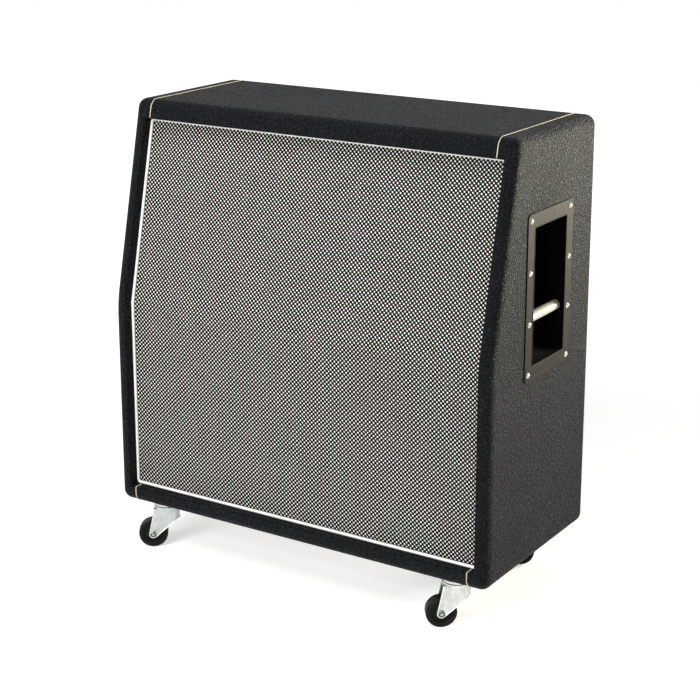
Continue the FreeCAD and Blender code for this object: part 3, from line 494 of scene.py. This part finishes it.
def dotted(name, points, outward):
    """Mesh of loose points, each with the direction that what stands on it faces."""
    mesh = bpy.data.meshes.new(name)
    mesh.from_pydata(points, [], [])
    facing = mesh.attributes.new("outward", "FLOAT_VECTOR", "POINT")
    for entry, direction in zip(facing.data, outward):
        entry.vector = direction
    return mesh


def strung(name, lines, closed):
    """Mesh of bare edges along lists of points."""
    points = []
    edges = []
    for line in lines:
        first = len(points)
        points += line
        edges += [(first + k, first + k + 1) for k in range(len(line) - 1)]
        if closed:
            edges.append((len(points) - 1, first))
    mesh = bpy.data.meshes.new(name)
    mesh.from_pydata(points, edges, [])
    return mesh


def heads_tree():
    """Tree that stands a head on each point of its base, facing outward, turned further than the last."""
    tree, given = node_tree("heads", {
        "Geometry": "Geometry", "Head": "Object", "Spin": "Float", "Paint": "Material"})
    shape = add(tree, "GeometryNodeObjectInfo", None, {"Object": given["Head"]}).outputs["Geometry"]
    facing = add(tree, "GeometryNodeInputNamedAttribute", {"data_type": "FLOAT_VECTOR"},
                 {"Name": "outward"})
    upright = add(tree, "FunctionNodeAlignRotationToVector", {"axis": "Z"},
                  {"Vector": facing.outputs["Attribute"]})
    angle = times(tree, add(tree, "GeometryNodeInputIndex").outputs[0], given["Spin"])
    about_z = add(tree, "ShaderNodeCombineXYZ", None, {"Z": angle})
    turn = add(tree, "FunctionNodeEulerToRotation", None, {0: about_z.outputs[0]})
    spun = add(tree, "FunctionNodeRotateRotation", {"rotation_space": "LOCAL"},
               {"Rotation": upright.outputs[0], "Rotate By": turn.outputs[0]})
    placed = add(tree, "GeometryNodeInstanceOnPoints", None,
                 {"Points": given["Geometry"], "Instance": shape, "Rotation": spun.outputs[0]})
    end_tree(tree, placed.outputs[0], given["Paint"])
    return tree


def bead_tree():
    """Tree that lays a round bead along the edges of its base."""
    tree, given = node_tree("bead", {
        "Geometry": "Geometry", "Radius": "Float", "Sides": "Int", "Paint": "Material"})
    line = add(tree, "GeometryNodeMeshToCurve", None, {"Mesh": given["Geometry"]})
    ring = add(tree, "GeometryNodeCurvePrimitiveCircle", None,
               {"Resolution": given["Sides"], "Radius": given["Radius"]})
    swept = add(tree, "GeometryNodeCurveToMesh", None,
                {"Curve": line.outputs[0], "Profile Curve": ring.outputs[0], "Fill Caps": True})
    smooth = add(tree, "GeometryNodeSetShadeSmooth", None, {"Geometry": swept.outputs[0]})
    end_tree(tree, smooth.outputs[0], given["Paint"])
    return tree


heads = heads_tree()
bead = bead_tree()


def beaded(name, lines, look, body, slot, radius, sides, closed=True):
    """Round bead along lists of points of a body."""
    values = {"Radius": radius, "Sides": sides, "Paint": looks[look]}
    return grown(name, bead, strung(name, lines, closed), values, body, slot)


def fixings(name, head, points, outward, body, slot, replaced=()):
    """Heads of one kind on points of a body."""
    values = {"Head": head, "Spin": HEAD_SPIN, "Paint": looks[slot]}
    return grown(name, heads, dotted(name, points, outward), values, body, slot, replaced)


# Grille cloth: the dark ground with its turned edges, then the light checks on it


def cloth_path():
    """Cross-section of the cloth from its lower turned edge to its upper one, as Y and Z pairs."""
    bend = bend_point(FRONT_RECESS)
    top = slant_y(CLOTH_HIGH, FRONT_RECESS)
    path = [(y_front + BAFFLE_BACK, CLOTH_LOW), (y_front + FRONT_RECESS, CLOTH_LOW)]
    for k in range(1, CLOTH_STEPS + 1):
        z = CLOTH_LOW + (bend[1] - CLOTH_LOW) * k / CLOTH_STEPS
        path.append((y_front + FRONT_RECESS, z))
    for k in range(1, CLOTH_STEPS + 1):
        y = bend[0] + (top - bend[0]) * k / CLOTH_STEPS
        z = bend[1] + (CLOTH_HIGH - bend[1]) * k / CLOTH_STEPS
        path.append((y, z))
    path.append((slant_y(CLOTH_HIGH, BAFFLE_BACK), CLOTH_HIGH))
    return path


def cloth_ground():
    """Mesh of the dark cloth over both planes of the front, with its four edges turned back."""
    bm = bmesh.new()
    rows = []
    for y, z in cloth_path():
        row = []
        for k in range(CLOTH_COLUMNS + 1):
            row.append(bm.verts.new((CLOTH_HALF * (2 * k / CLOTH_COLUMNS - 1), y, z)))
        rows.append(row)
    for low, high in zip(rows, rows[1:]):
        for k in range(CLOTH_COLUMNS):
            bm.faces.new((low[k], low[k + 1], high[k + 1], high[k]))
    for end, side in ((0, -1), (CLOTH_COLUMNS, 1)):
        edge = [row[end] for row in rows[1:-1]]
        folded = []
        for vert in edge:
            x, y, z = vert.co
            folded.append(bm.verts.new((x, y + BAFFLE_BACK - FRONT_RECESS, z)))
        for k in range(len(edge) - 1):
            corners = (edge[k], folded[k], folded[k + 1], edge[k + 1])
            bm.faces.new(corners if side > 0 else tuple(reversed(corners)))
    return mesh_from(bm, "grille_cloth_ground")


def pillow():
    """One light check of the weave: a slanted patch that swells from its edges."""
    bm = bmesh.new()
    half = CHECK * CHECK_SHARE
    levels = (CHECK_CROWN, CHECK_SIDE, CHECK_CORNER)
    grid = []
    for i in (-1, 0, 1):
        row = []
        for j in (-1, 0, 1):
            x = half * (i - CHECK_SLANT * j)
            y = half * (j - CHECK_SLANT * i)
            row.append(bm.verts.new((x, y, levels[abs(i) + abs(j)])))
        grid.append(row)
    for i in range(2):
        for j in range(2):
            bm.faces.new((grid[i][j], grid[i + 1][j], grid[i + 1][j + 1], grid[i][j + 1]))
    return bpy.data.objects.new("check", mesh_from(bm, "check", crease=180))


def checks_tree():
    """Tree that sets light checks on one plane of the cloth, as two interleaved grids of patches."""
    tree, given = node_tree("checks", {
        "Check": "Object", "Pitch": "Float", "Rise": "Float", "Columns": "Int", "Rows": "Int",
        "Start": "Float", "Place": "Vector", "Turn": "Rotation", "Paint": "Material"})
    patch = add(tree, "GeometryNodeObjectInfo", None, {"Object": given["Check"]}).outputs["Geometry"]
    column_gaps = math_node(tree, "SUBTRACT", given["Columns"], 1.0)
    row_gaps = math_node(tree, "SUBTRACT", given["Rows"], 1.0)
    width = times(tree, times(tree, given["Pitch"], 2.0), column_gaps)
    length = times(tree, times(tree, given["Rise"], 2.0), row_gaps)
    swing = add(tree, "FunctionNodeRandomValue", {"data_type": "FLOAT_VECTOR"},
                {0: (0.0, 0.0, -CHECK_SWING), 1: (0.0, 0.0, CHECK_SWING), "Seed": SWING_SEED})
    join = tree.nodes.new("GeometryNodeJoinGeometry")
    for shift, (smallest, largest) in ((-0.5, LARGER_CHECKS), (0.5, SMALLER_CHECKS)):
        grid = add(tree, "GeometryNodeMeshGrid", None,
                   {"Size X": width, "Size Y": length,
                    "Vertices X": given["Columns"], "Vertices Y": given["Rows"]})
        aside = times(tree, given["Pitch"], shift)
        along = math_node(tree, "ADD", times(tree, given["Rise"], shift), given["Start"])
        centre = add(tree, "ShaderNodeCombineXYZ", None, {"X": aside, "Y": along})
        moved = add(tree, "GeometryNodeTransform", None,
                    {"Geometry": grid.outputs["Mesh"], "Translation": centre.outputs[0]})
        size = add(tree, "FunctionNodeRandomValue", {"data_type": "FLOAT_VECTOR"},
                   {0: smallest, 1: largest, "Seed": SIZE_SEED})
        spread = add(tree, "GeometryNodeInstanceOnPoints", None,
                     {"Points": moved.outputs[0], "Instance": patch,
                      "Rotation": swing.outputs["Value"], "Scale": size.outputs["Value"]})
        tree.links.new(spread.outputs[0], join.inputs[0])
    placed = add(tree, "GeometryNodeTransform", None,
                 {"Geometry": join.outputs[0], "Translation": given["Place"], "Rotation": given["Turn"]})
    end_tree(tree, placed.outputs[0], given["Paint"])
    return tree


cloth = piece("grille_cloth_ground", cloth_ground(), "cabinet", "grille_cloth", ("grille_cloth",))
bend = bend_point(FRONT_RECESS)
up_length = (CLOTH_HIGH - bend[1]) / slope_z
down_length = bend[1] - CLOTH_LOW
up_rows = round(up_length / CHECK / 2)
down_rows = round(down_length / CHECK / 2)
checks = checks_tree()
weave = {
    "Check": pillow(),
    "Pitch": CHECK,
    "Columns": int(CLOTH_HALF / CHECK),
    "Paint": looks["cloth_light"],
}
upper_weave = {
    "Rows": up_rows,
    "Rise": up_length / up_rows / 2,
    "Start": up_length / 2,
    "Turn": (math.atan2(slope_z, slope_y), 0.0, 0.0),
    "Place": (0.0, bend[0] - slope_z * CHECK_LIFT, bend[1] + slope_y * CHECK_LIFT),
}
lower_weave = {
    "Rows": down_rows,
    "Rise": down_length / down_rows / 2,
    "Start": -down_length / 2,
    "Turn": (math.pi / 2, 0.0, 0.0),
    "Place": (0.0, bend[0] - CHECK_LIFT, bend[1]),
}
light_upper = grown("grille_checks_upper", checks, bpy.data.meshes.new("weave"), weave | upper_weave,
                    "cabinet", "grille_cloth")
light_lower = grown("grille_checks_lower", checks, bpy.data.meshes.new("weave"), weave | lower_weave,
                    "cabinet", "grille_cloth")

# Screws, with a slot or a cross in the head


def screw_head(radius, height, slots):
    """Domed head on the XY plane, recessed by one slot or by two that cross."""
    bm = bmesh.new()
    rings = 9
    around = 32
    dome_power = 2.6
    slot_half = radius * 0.15
    slot_reach = radius * (0.9 if slots == 1 else 0.58)
    slot_floor = height * 0.45
    centre = bm.verts.new((0.0, 0.0, slot_floor))
    last = None
    for ring in range(1, rings + 1):
        r = radius * ring / rings
        row = []
        for k in range(around):
            angle = 2 * math.pi * (k + 0.5) / around
            x = r * math.cos(angle)
            y = r * math.sin(angle)
            z = height * (1 - (ring / rings) ** dome_power)
            off_slot = abs(x) if slots == 1 else min(abs(x), abs(y))
            if off_slot < slot_half and r < slot_reach:
                z = min(z, slot_floor)
            row.append(bm.verts.new((x, y, z)))
        for k in range(around):
            n = (k + 1) % around
            if last is None:
                bm.faces.new((centre, row[k], row[n]))
            else:
                bm.faces.new((last[k], row[k], row[n], last[n]))
        last = row
    return bpy.data.objects.new("screw_head", mesh_from(bm, "screw_head", crease=40))


plate_low, plate_high = (Vector(corner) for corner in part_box("handle_dish_right"))
plate_y = (plate_low.y + plate_high.y) / 2
plate_z = (plate_low.z + plate_high.z) / 2
plate_x = plate_high.x
screw_y = (plate_high.y - plate_low.y) / 2 - HANDLE_SCREW_INSET
screw_z = (plate_high.z - plate_low.z) / 2 - HANDLE_SCREW_INSET
points = []
outward = []
for side in (-1, 1):
    for y in (-screw_y, screw_y):
        for share in (-1, -1 / 3, 1 / 3, 1):
            points.append((side * plate_x, plate_y + y, plate_z + share * screw_z))
            outward.append((side, 0, 0))
handle_head = screw_head(HANDLE_SCREW_R, HANDLE_SCREW_RISE, slots=2)
fixings("handle_screw_heads", handle_head, points, outward, "cabinet", "nickel_screws", ("handle_screws",))

rear_low, rear_high = (Vector(corner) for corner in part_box("rear_screws"))
rear_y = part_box("vinyl_rear")[1][1]
jack_low, jack_high = (Vector(corner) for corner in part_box("jack_plate"))
line_x = rear_high.x - REAR_SCREW_R
line_low = rear_low.z + REAR_SCREW_R
line_high = rear_high.z - REAR_SCREW_R
points = []
for share in (-1, -1 / 2, 0, 1 / 2, 1):
    for z in (line_low, line_high):
        points.append((line_x * share, rear_y, z))
for k in range(1, 4):
    z = line_low + (line_high - line_low) * k / 4
    for x in (-line_x, line_x):
        points.append((x, rear_y, z))
for x in (jack_low.x + JACK_SCREW_INSET, jack_high.x - JACK_SCREW_INSET):
    for z in (jack_low.z + JACK_SCREW_INSET, jack_high.z - JACK_SCREW_INSET):
        points.append((x, jack_high.y, z))
rear_head = screw_head(REAR_SCREW_R, REAR_SCREW_RISE, slots=2)
fixings("rear_screw_heads", rear_head, points, [(0, 1, 0)] * len(points), "cabinet", "black_screws",
        ("rear_screws",))

# Six-sided nuts on the jack sockets


def nut(flats, height, bore):
    """Nut on the XY plane with chamfered corners and a round bore."""
    bm = bmesh.new()
    around = 48
    chamfer_level = 0.72
    chamfer_reach = flats / 2 * 1.02
    side = math.pi / 3
    rings = []
    for level in (0.0, chamfer_level, 1.0):
        ring = []
        for k in range(around):
            angle = 2 * math.pi * k / around
            off_flat = (angle + side / 2) % side - side / 2
            reach = flats / 2 / math.cos(off_flat)
            ring.append((min(reach, chamfer_reach) if level == 1.0 else reach, angle, height * level))
        rings.append(ring)
    for level in (1.0, 0.0):
        rings.append([(bore, 2 * math.pi * k / around, height * level) for k in range(around)])
    rows = []
    for ring in rings:
        rows.append([bm.verts.new((r * math.cos(angle), r * math.sin(angle), z)) for r, angle, z in ring])
    for low, high in zip(rows, rows[1:]):
        for k in range(around):
            n = (k + 1) % around
            bm.faces.new((low[k], low[n], high[n], high[k]))
    return bpy.data.objects.new("nut", mesh_from(bm, "nut", crease=25))


jack_centres = [mount["pos_m"] for mount in frame["record"]["mounts"] if mount["name"].startswith("jack_")]
points = [(x, jack_high.y, z) for x, y, z in jack_centres]
jack_nut = nut(NUT_FLATS, NUT_HEIGHT, NUT_BORE_R)
fixings("jack_nuts", jack_nut, points, [(0, 1, 0)] * len(points), "cabinet", "jack_socket")

# Rolled lip around the mouth of each handle, and a black bead round its plate as a line of painted shade


def rounded_frame(low, high, radius, steps):
    """Corners of an upright rectangle in Y and Z, rounded."""
    found = []
    middles = ((high[0] - radius, high[1] - radius), (low[0] + radius, high[1] - radius),
               (low[0] + radius, low[1] + radius), (high[0] - radius, low[1] + radius))
    for quarter, (y, z) in enumerate(middles):
        for k in range(steps + 1):
            angle = math.pi / 2 * (quarter + k / steps)
            found.append((y + radius * math.cos(angle), z + radius * math.sin(angle)))
    return found


def on_both_sides(outline, x):
    """The same outline in Y and Z on the left and the right of the cabinet."""
    return [[(side * x, y, z) for y, z in outline] for side in (-1, 1)]


lip_y = (plate_high.y - plate_low.y) / 2 - HANDLE_FLANGE_SIDE + LIP_BEAD / 2
lip_z = (plate_high.z - plate_low.z) / 2 - HANDLE_FLANGE_END + LIP_BEAD / 2
lip_low = (plate_y - lip_y, plate_z - lip_z)
lip_high = (plate_y + lip_y, plate_z + lip_z)
lip_lines = on_both_sides(rounded_frame(lip_low, lip_high, LIP_CORNER, steps=6), plate_x - LIP_BEAD / 2)
beaded("handle_lips", lip_lines, "handle_dish", "cabinet", "handle_dish", radius=LIP_BEAD, sides=12)

# Black bead round the plate's edge: painted shade where the plate meets the vinyl
shade_rim_low = (plate_low.y, plate_low.z)
shade_rim_high = (plate_high.y, plate_high.z)
shade_rim_lines = on_both_sides(rounded_frame(shade_rim_low, shade_rim_high, HANDLE_PLATE_CORNER, steps=8), plate_x - SHADE_RIM_DROP)
beaded("handle_rims", shade_rim_lines, "handle_dish", "cabinet", "handle_dish", radius=SHADE_RIM_BEAD, sides=10)

# Casters: moulded wheels, rolled edges of the forks in lighter zinc as a painted highlight, and slotted axle heads
# with a black ring of painted shade


def wheel_profile():
    """Half section of the wheel from its bore outward, as radius and distance from the middle."""
    half = WHEEL_WIDTH / 2
    outer = WHEEL_D / 2
    bore_r = 0.00405
    hub_face = half + 0.001
    hub_face_r = 0.0084
    hub_edge = half + 0.0006
    hub_edge_r = 0.009
    web = half - 0.0015
    web_r = 0.01
    web_fall = 0.14
    rib_radii = (0.0124, 0.015)
    rib_foot = 0.0009
    rib_crest = 0.0005
    rib_rise = 0.0008
    tread_foot = half - 0.0025
    tread_foot_r = 0.017
    tread_edge = half - 0.0003
    tread_edge_r = 0.0186
    tread_r = 0.019
    groove_r = 0.0215
    groove_half = 0.0006
    groove_floor_half = 0.0003
    groove_floor = half - 0.0005
    corner = 0.0025
    corner_steps = 6
    parting_half = 0.0004
    parting_depth = 0.0002
    near = [(bore_r, hub_face), (hub_face_r, hub_face), (hub_edge_r, hub_edge), (web_r, web)]
    for radius in rib_radii:
        sunk = web - (radius - web_r) * web_fall
        near += [(radius - rib_foot, sunk), (radius - rib_crest, sunk + rib_rise),
                 (radius + rib_crest, sunk + rib_rise), (radius + rib_foot, sunk)]
    near += [(tread_foot_r, tread_foot), (tread_edge_r, tread_edge), (tread_r, half)]
    near += [(groove_r - groove_half, half), (groove_r - groove_floor_half, groove_floor),
             (groove_r + groove_floor_half, groove_floor), (groove_r + groove_half, half)]
    for k in range(corner_steps + 1):
        angle = math.pi / 2 * k / corner_steps
        near.append((outer - corner + corner * math.sin(angle), half - corner + corner * math.cos(angle)))
    near += [(outer, parting_half), (outer - parting_depth, 0.0)]
    return near


def turned(name, profile, centre, axis):
    """Mesh turned about an axis through a centre, from a closed profile of radius and distance along."""
    steps = 72
    along = Vector(axis).normalized()
    first = along.cross(Vector((0, 0, 1))).normalized()
    second = along.cross(first)
    bm = bmesh.new()
    rows = []
    for step in range(steps):
        angle = 2 * math.pi * step / steps
        spoke = first * math.cos(angle) + second * math.sin(angle)
        rows.append([bm.verts.new(Vector(centre) + spoke * radius + along * y) for radius, y in profile])
    count = len(profile)
    for step in range(steps):
        near, far = rows[step], rows[(step + 1) % steps]
        for k in range(count):
            n = (k + 1) % count
            bm.faces.new((near[k], near[n], far[n], far[k]))
    bmesh.ops.recalc_face_normals(bm, faces=bm.faces)
    return mesh_from(bm, name, crease=30)


def tangent_point(point, centre, radius, side):
    """Angle, X and Z where a line from a point touches a circle, on the chosen side."""
    x = point[0] - centre[0]
    z = point[1] - centre[1]
    angle = math.atan2(z, x) + side * math.acos(radius / math.hypot(x, z))
    return angle, centre[0] + radius * math.cos(angle), centre[1] + radius * math.sin(angle)


def fork_edge():
    """Side view of the fork's edge, from the front of its crown round the eye to its back."""
    eye_steps = 15
    back_steps = 12
    crown_steps = 8
    eye = (CASTER_TRAIL, WHEEL_D / 2)
    radius = FORK_EYE_R - FORK_BEAD
    top = (FORK_CROWN_R - FORK_BEAD, FORK_TOP - FORK_BEAD)
    back_low = (FORK_EYE_R / 2 - FORK_CROWN_R, FORK_TOP - FORK_REAR_DROP + FORK_BEAD)
    start, x_start, z_start = tangent_point(top, eye, radius, -1)
    end, x_end, z_end = tangent_point(back_low, eye, radius, 1)
    edge = [top, (x_start, z_start)]
    sweep = (end - start) % (2 * math.pi) - 2 * math.pi
    for k in range(1, eye_steps + 1):
        angle = start + sweep * k / eye_steps
        edge.append((eye[0] + radius * math.cos(angle), eye[1] + radius * math.sin(angle)))
    round_back = FORK_OUTSIDE - FORK_CROWN_R
    for k in range(1, back_steps + 1):
        x = round_back + (back_low[0] - round_back) * k / back_steps
        share = (x_end - x) / (x_end - back_low[0])
        edge.append((x, z_end + (back_low[1] - z_end) * share))
    for k in range(1, crown_steps + 1):
        angle = math.pi / 2 * k / crown_steps
        x = back_low[0] + (-FORK_CROWN_R - back_low[0]) * math.sin(angle)
        edge.append((x, back_low[1]))
    return edge


def fork_line(swivel, trail, axis):
    """Points along the edge of a fork, down one cheek, round its back and up the other."""
    cheek = []
    for x, z in fork_edge():
        bowed = FORK_OUTSIDE ** 2 - min(x - FORK_OUTSIDE + FORK_CROWN_R, 0.0) ** 2
        cheek.append((x, math.sqrt(max(bowed, 0.0)), z))
    run = cheek + [(x, -y, z) for x, y, z in reversed(cheek[:-1])]
    return [Vector((swivel.x, swivel.y, z)) + trail * x + axis * y for x, y, z in run]


def shade_ring_line(middle, trail):
    """Points of a ring of painted shade in the face of an axle head."""
    steps = 24
    ring = []
    for k in range(steps):
        angle = 2 * math.pi * k / steps
        spoke = trail * math.cos(angle) + Vector((0, 0, 1)) * math.sin(angle)
        ring.append(middle + spoke * AXLE_SHADE_RING_R)
    return ring


wheel_near = wheel_profile()
wheel_section = wheel_near + [(radius, -y) for radius, y in reversed(wheel_near[:-1])]
axle_head = screw_head(AXLE_HEAD_R, AXLE_HEAD_RISE, slots=1)
axle_reach = FORK_OUTSIDE + AXLE_HEAD
for corner in ("front_left", "front_right", "rear_left", "rear_right"):
    swivel = Vector(joints[corner + "_swivel"]["pos_m"])
    hub = Vector(joints[corner + "_roll"]["pos_m"])
    axis = Vector(joints[corner + "_roll"]["axis"])
    trail = Vector((hub.x - swivel.x, hub.y - swivel.y, 0)).normalized()
    caster = "caster_" + corner
    fork = caster + "_swivel"
    tyre = turned(caster + "_tyre", wheel_section, hub, axis)
    piece(caster + "_tyre", tyre, caster + "_wheel", "wheel_rubber", (caster + "_wheel",))
    # Rolled edge of the fork, in the lighter zinc of a painted highlight
    beaded(caster + "_fork_edge", [fork_line(swivel, trail, axis)], "zinc_painted_highlight", fork, "zinc",
           radius=FORK_BEAD, sides=8, closed=False)
    ends = [hub + axis * axle_reach, hub - axis * axle_reach]
    fixings(caster + "_axle_heads", axle_head, ends, [axis, -axis], fork, "zinc_rivet")
    # Black ring of painted shade in the face of each axle head
    shade_ring_reach = axle_reach + AXLE_SHADE_RING_LIFT
    rings = [shade_ring_line(hub + axis * face * shade_ring_reach, trail) for face in (-1, 1)]
    beaded(caster + "_axle_rings", rings, "axle_shade_ring", fork, "black_screws",
           radius=AXLE_SHADE_RING_BEAD, sides=8)

# Floor, background and light

FLOOR_RADIUS = 6.0
GLOW_NEAR = 0.6
GLOW_FAR = 2.6
GLOW_UNDER = 0.55
GLOW_WHITE = 1.0
SKY_FILL = (0.2, 0.205, 0.215)
WHITE = (1, 1, 1)


def seen_directly(tree):
    """One for rays that show the background, straight or by a reflection, and zero for the rest."""
    ray = add(tree, "ShaderNodeLightPath")
    either = math_node(tree, "MAXIMUM", ray.outputs["Is Camera Ray"], ray.outputs["Is Glossy Ray"])
    return math_node(tree, "MAXIMUM", either, ray.outputs["Is Transmission Ray"])


bm = bmesh.new()
bmesh.ops.create_circle(bm, cap_ends=True, segments=96, radius=FLOOR_RADIUS)
floor = bpy.data.objects.new("floor", mesh_from(bm, "floor"))
scene.collection.objects.link(floor)
paper = surface("floor", "mottle", 6.0, (0.86, 0.86, 0.86), (0.9, 0.9, 0.9), (0.9, 0.85),
                bump=0.0, depth=0.001, constants={SPECULAR: 0.0, "Emission Color": (*WHITE, 1)})
tree = paper.node_tree
away = vector_node(tree, "LENGTH", add(tree, "ShaderNodeTexCoord").outputs["Object"]).outputs["Value"]
level = remap(tree, away, GLOW_NEAR, GLOW_FAR, GLOW_UNDER, GLOW_WHITE)
glow = times(tree, level, seen_directly(tree))
tree.links.new(glow, tree.nodes["Principled BSDF"].inputs["Emission Strength"])
floor.data.materials.append(paper)

world = bpy.data.worlds.new("studio")
scene.world = world
world.use_nodes = True
sky = world.node_tree
shade = colour_mix(sky, seen_directly(sky), SKY_FILL, WHITE)
sky.links.new(shade, sky.nodes["Background"].inputs["Color"])


def lamp(name, place, target, size, power, colour, spread):
    """Soft square light that faces a target, with a beam this many degrees wide."""
    data = bpy.data.lights.new(name, "AREA")
    data.shape = "SQUARE"
    data.size = size
    data.energy = power
    data.color = colour
    data.spread = math.radians(spread)
    made = bpy.data.objects.new(name, data)
    made.location = place
    made.visible_camera = False
    made.rotation_euler = (Vector(target) - Vector(place)).to_track_quat("-Z", "Y").to_euler()
    scene.collection.objects.link(made)


lamp("top", place=(0.0, -1.3, 2.9), target=(0, -0.1, 0.5), size=2.0, power=52,
     colour=(1.0, 0.98, 0.95), spread=180)
lamp("front", place=(-0.4, -2.9, 1.6), target=(0, 0, 0.45), size=1.4, power=59,
     colour=(1.0, 1.0, 1.0), spread=180)
lamp("side", place=(1.32, 1.47, 0.75), target=(0.385, 0.0, 1.05), size=0.7, power=32,
     colour=(1.0, 0.97, 0.78), spread=92)

# Camera fitted to the photograph: focal length and shift as shares of the sensor's width

SENSOR = 36.0
FOCAL = 2.46
SHIFT = -0.10
CAMERA_AZIMUTH = 32.583
CAMERA_ELEVATION = 15.072
CAMERA_TARGET = (0.0032, 0.0, 0.5247)
CAMERA_DISTANCE = 3.0444
camera_data = bpy.data.cameras.new("camera")
camera_data.sensor_fit = "HORIZONTAL"
camera_data.sensor_width = SENSOR
camera_data.lens = SENSOR * FOCAL
camera_data.shift_y = SHIFT
camera = bpy.data.objects.new("camera", camera_data)
azimuth = math.radians(CAMERA_AZIMUTH)
elevation = math.radians(CAMERA_ELEVATION)
level_reach = math.cos(elevation)
back = Vector((math.sin(azimuth) * level_reach, -math.cos(azimuth) * level_reach, math.sin(elevation)))
camera.location = Vector(CAMERA_TARGET) + back * CAMERA_DISTANCE
camera.rotation_euler = back.to_track_quat("Z", "Y").to_euler()
scene.collection.objects.link(camera)
scene.camera = camera
scene.view_settings.view_transform = "Standard"
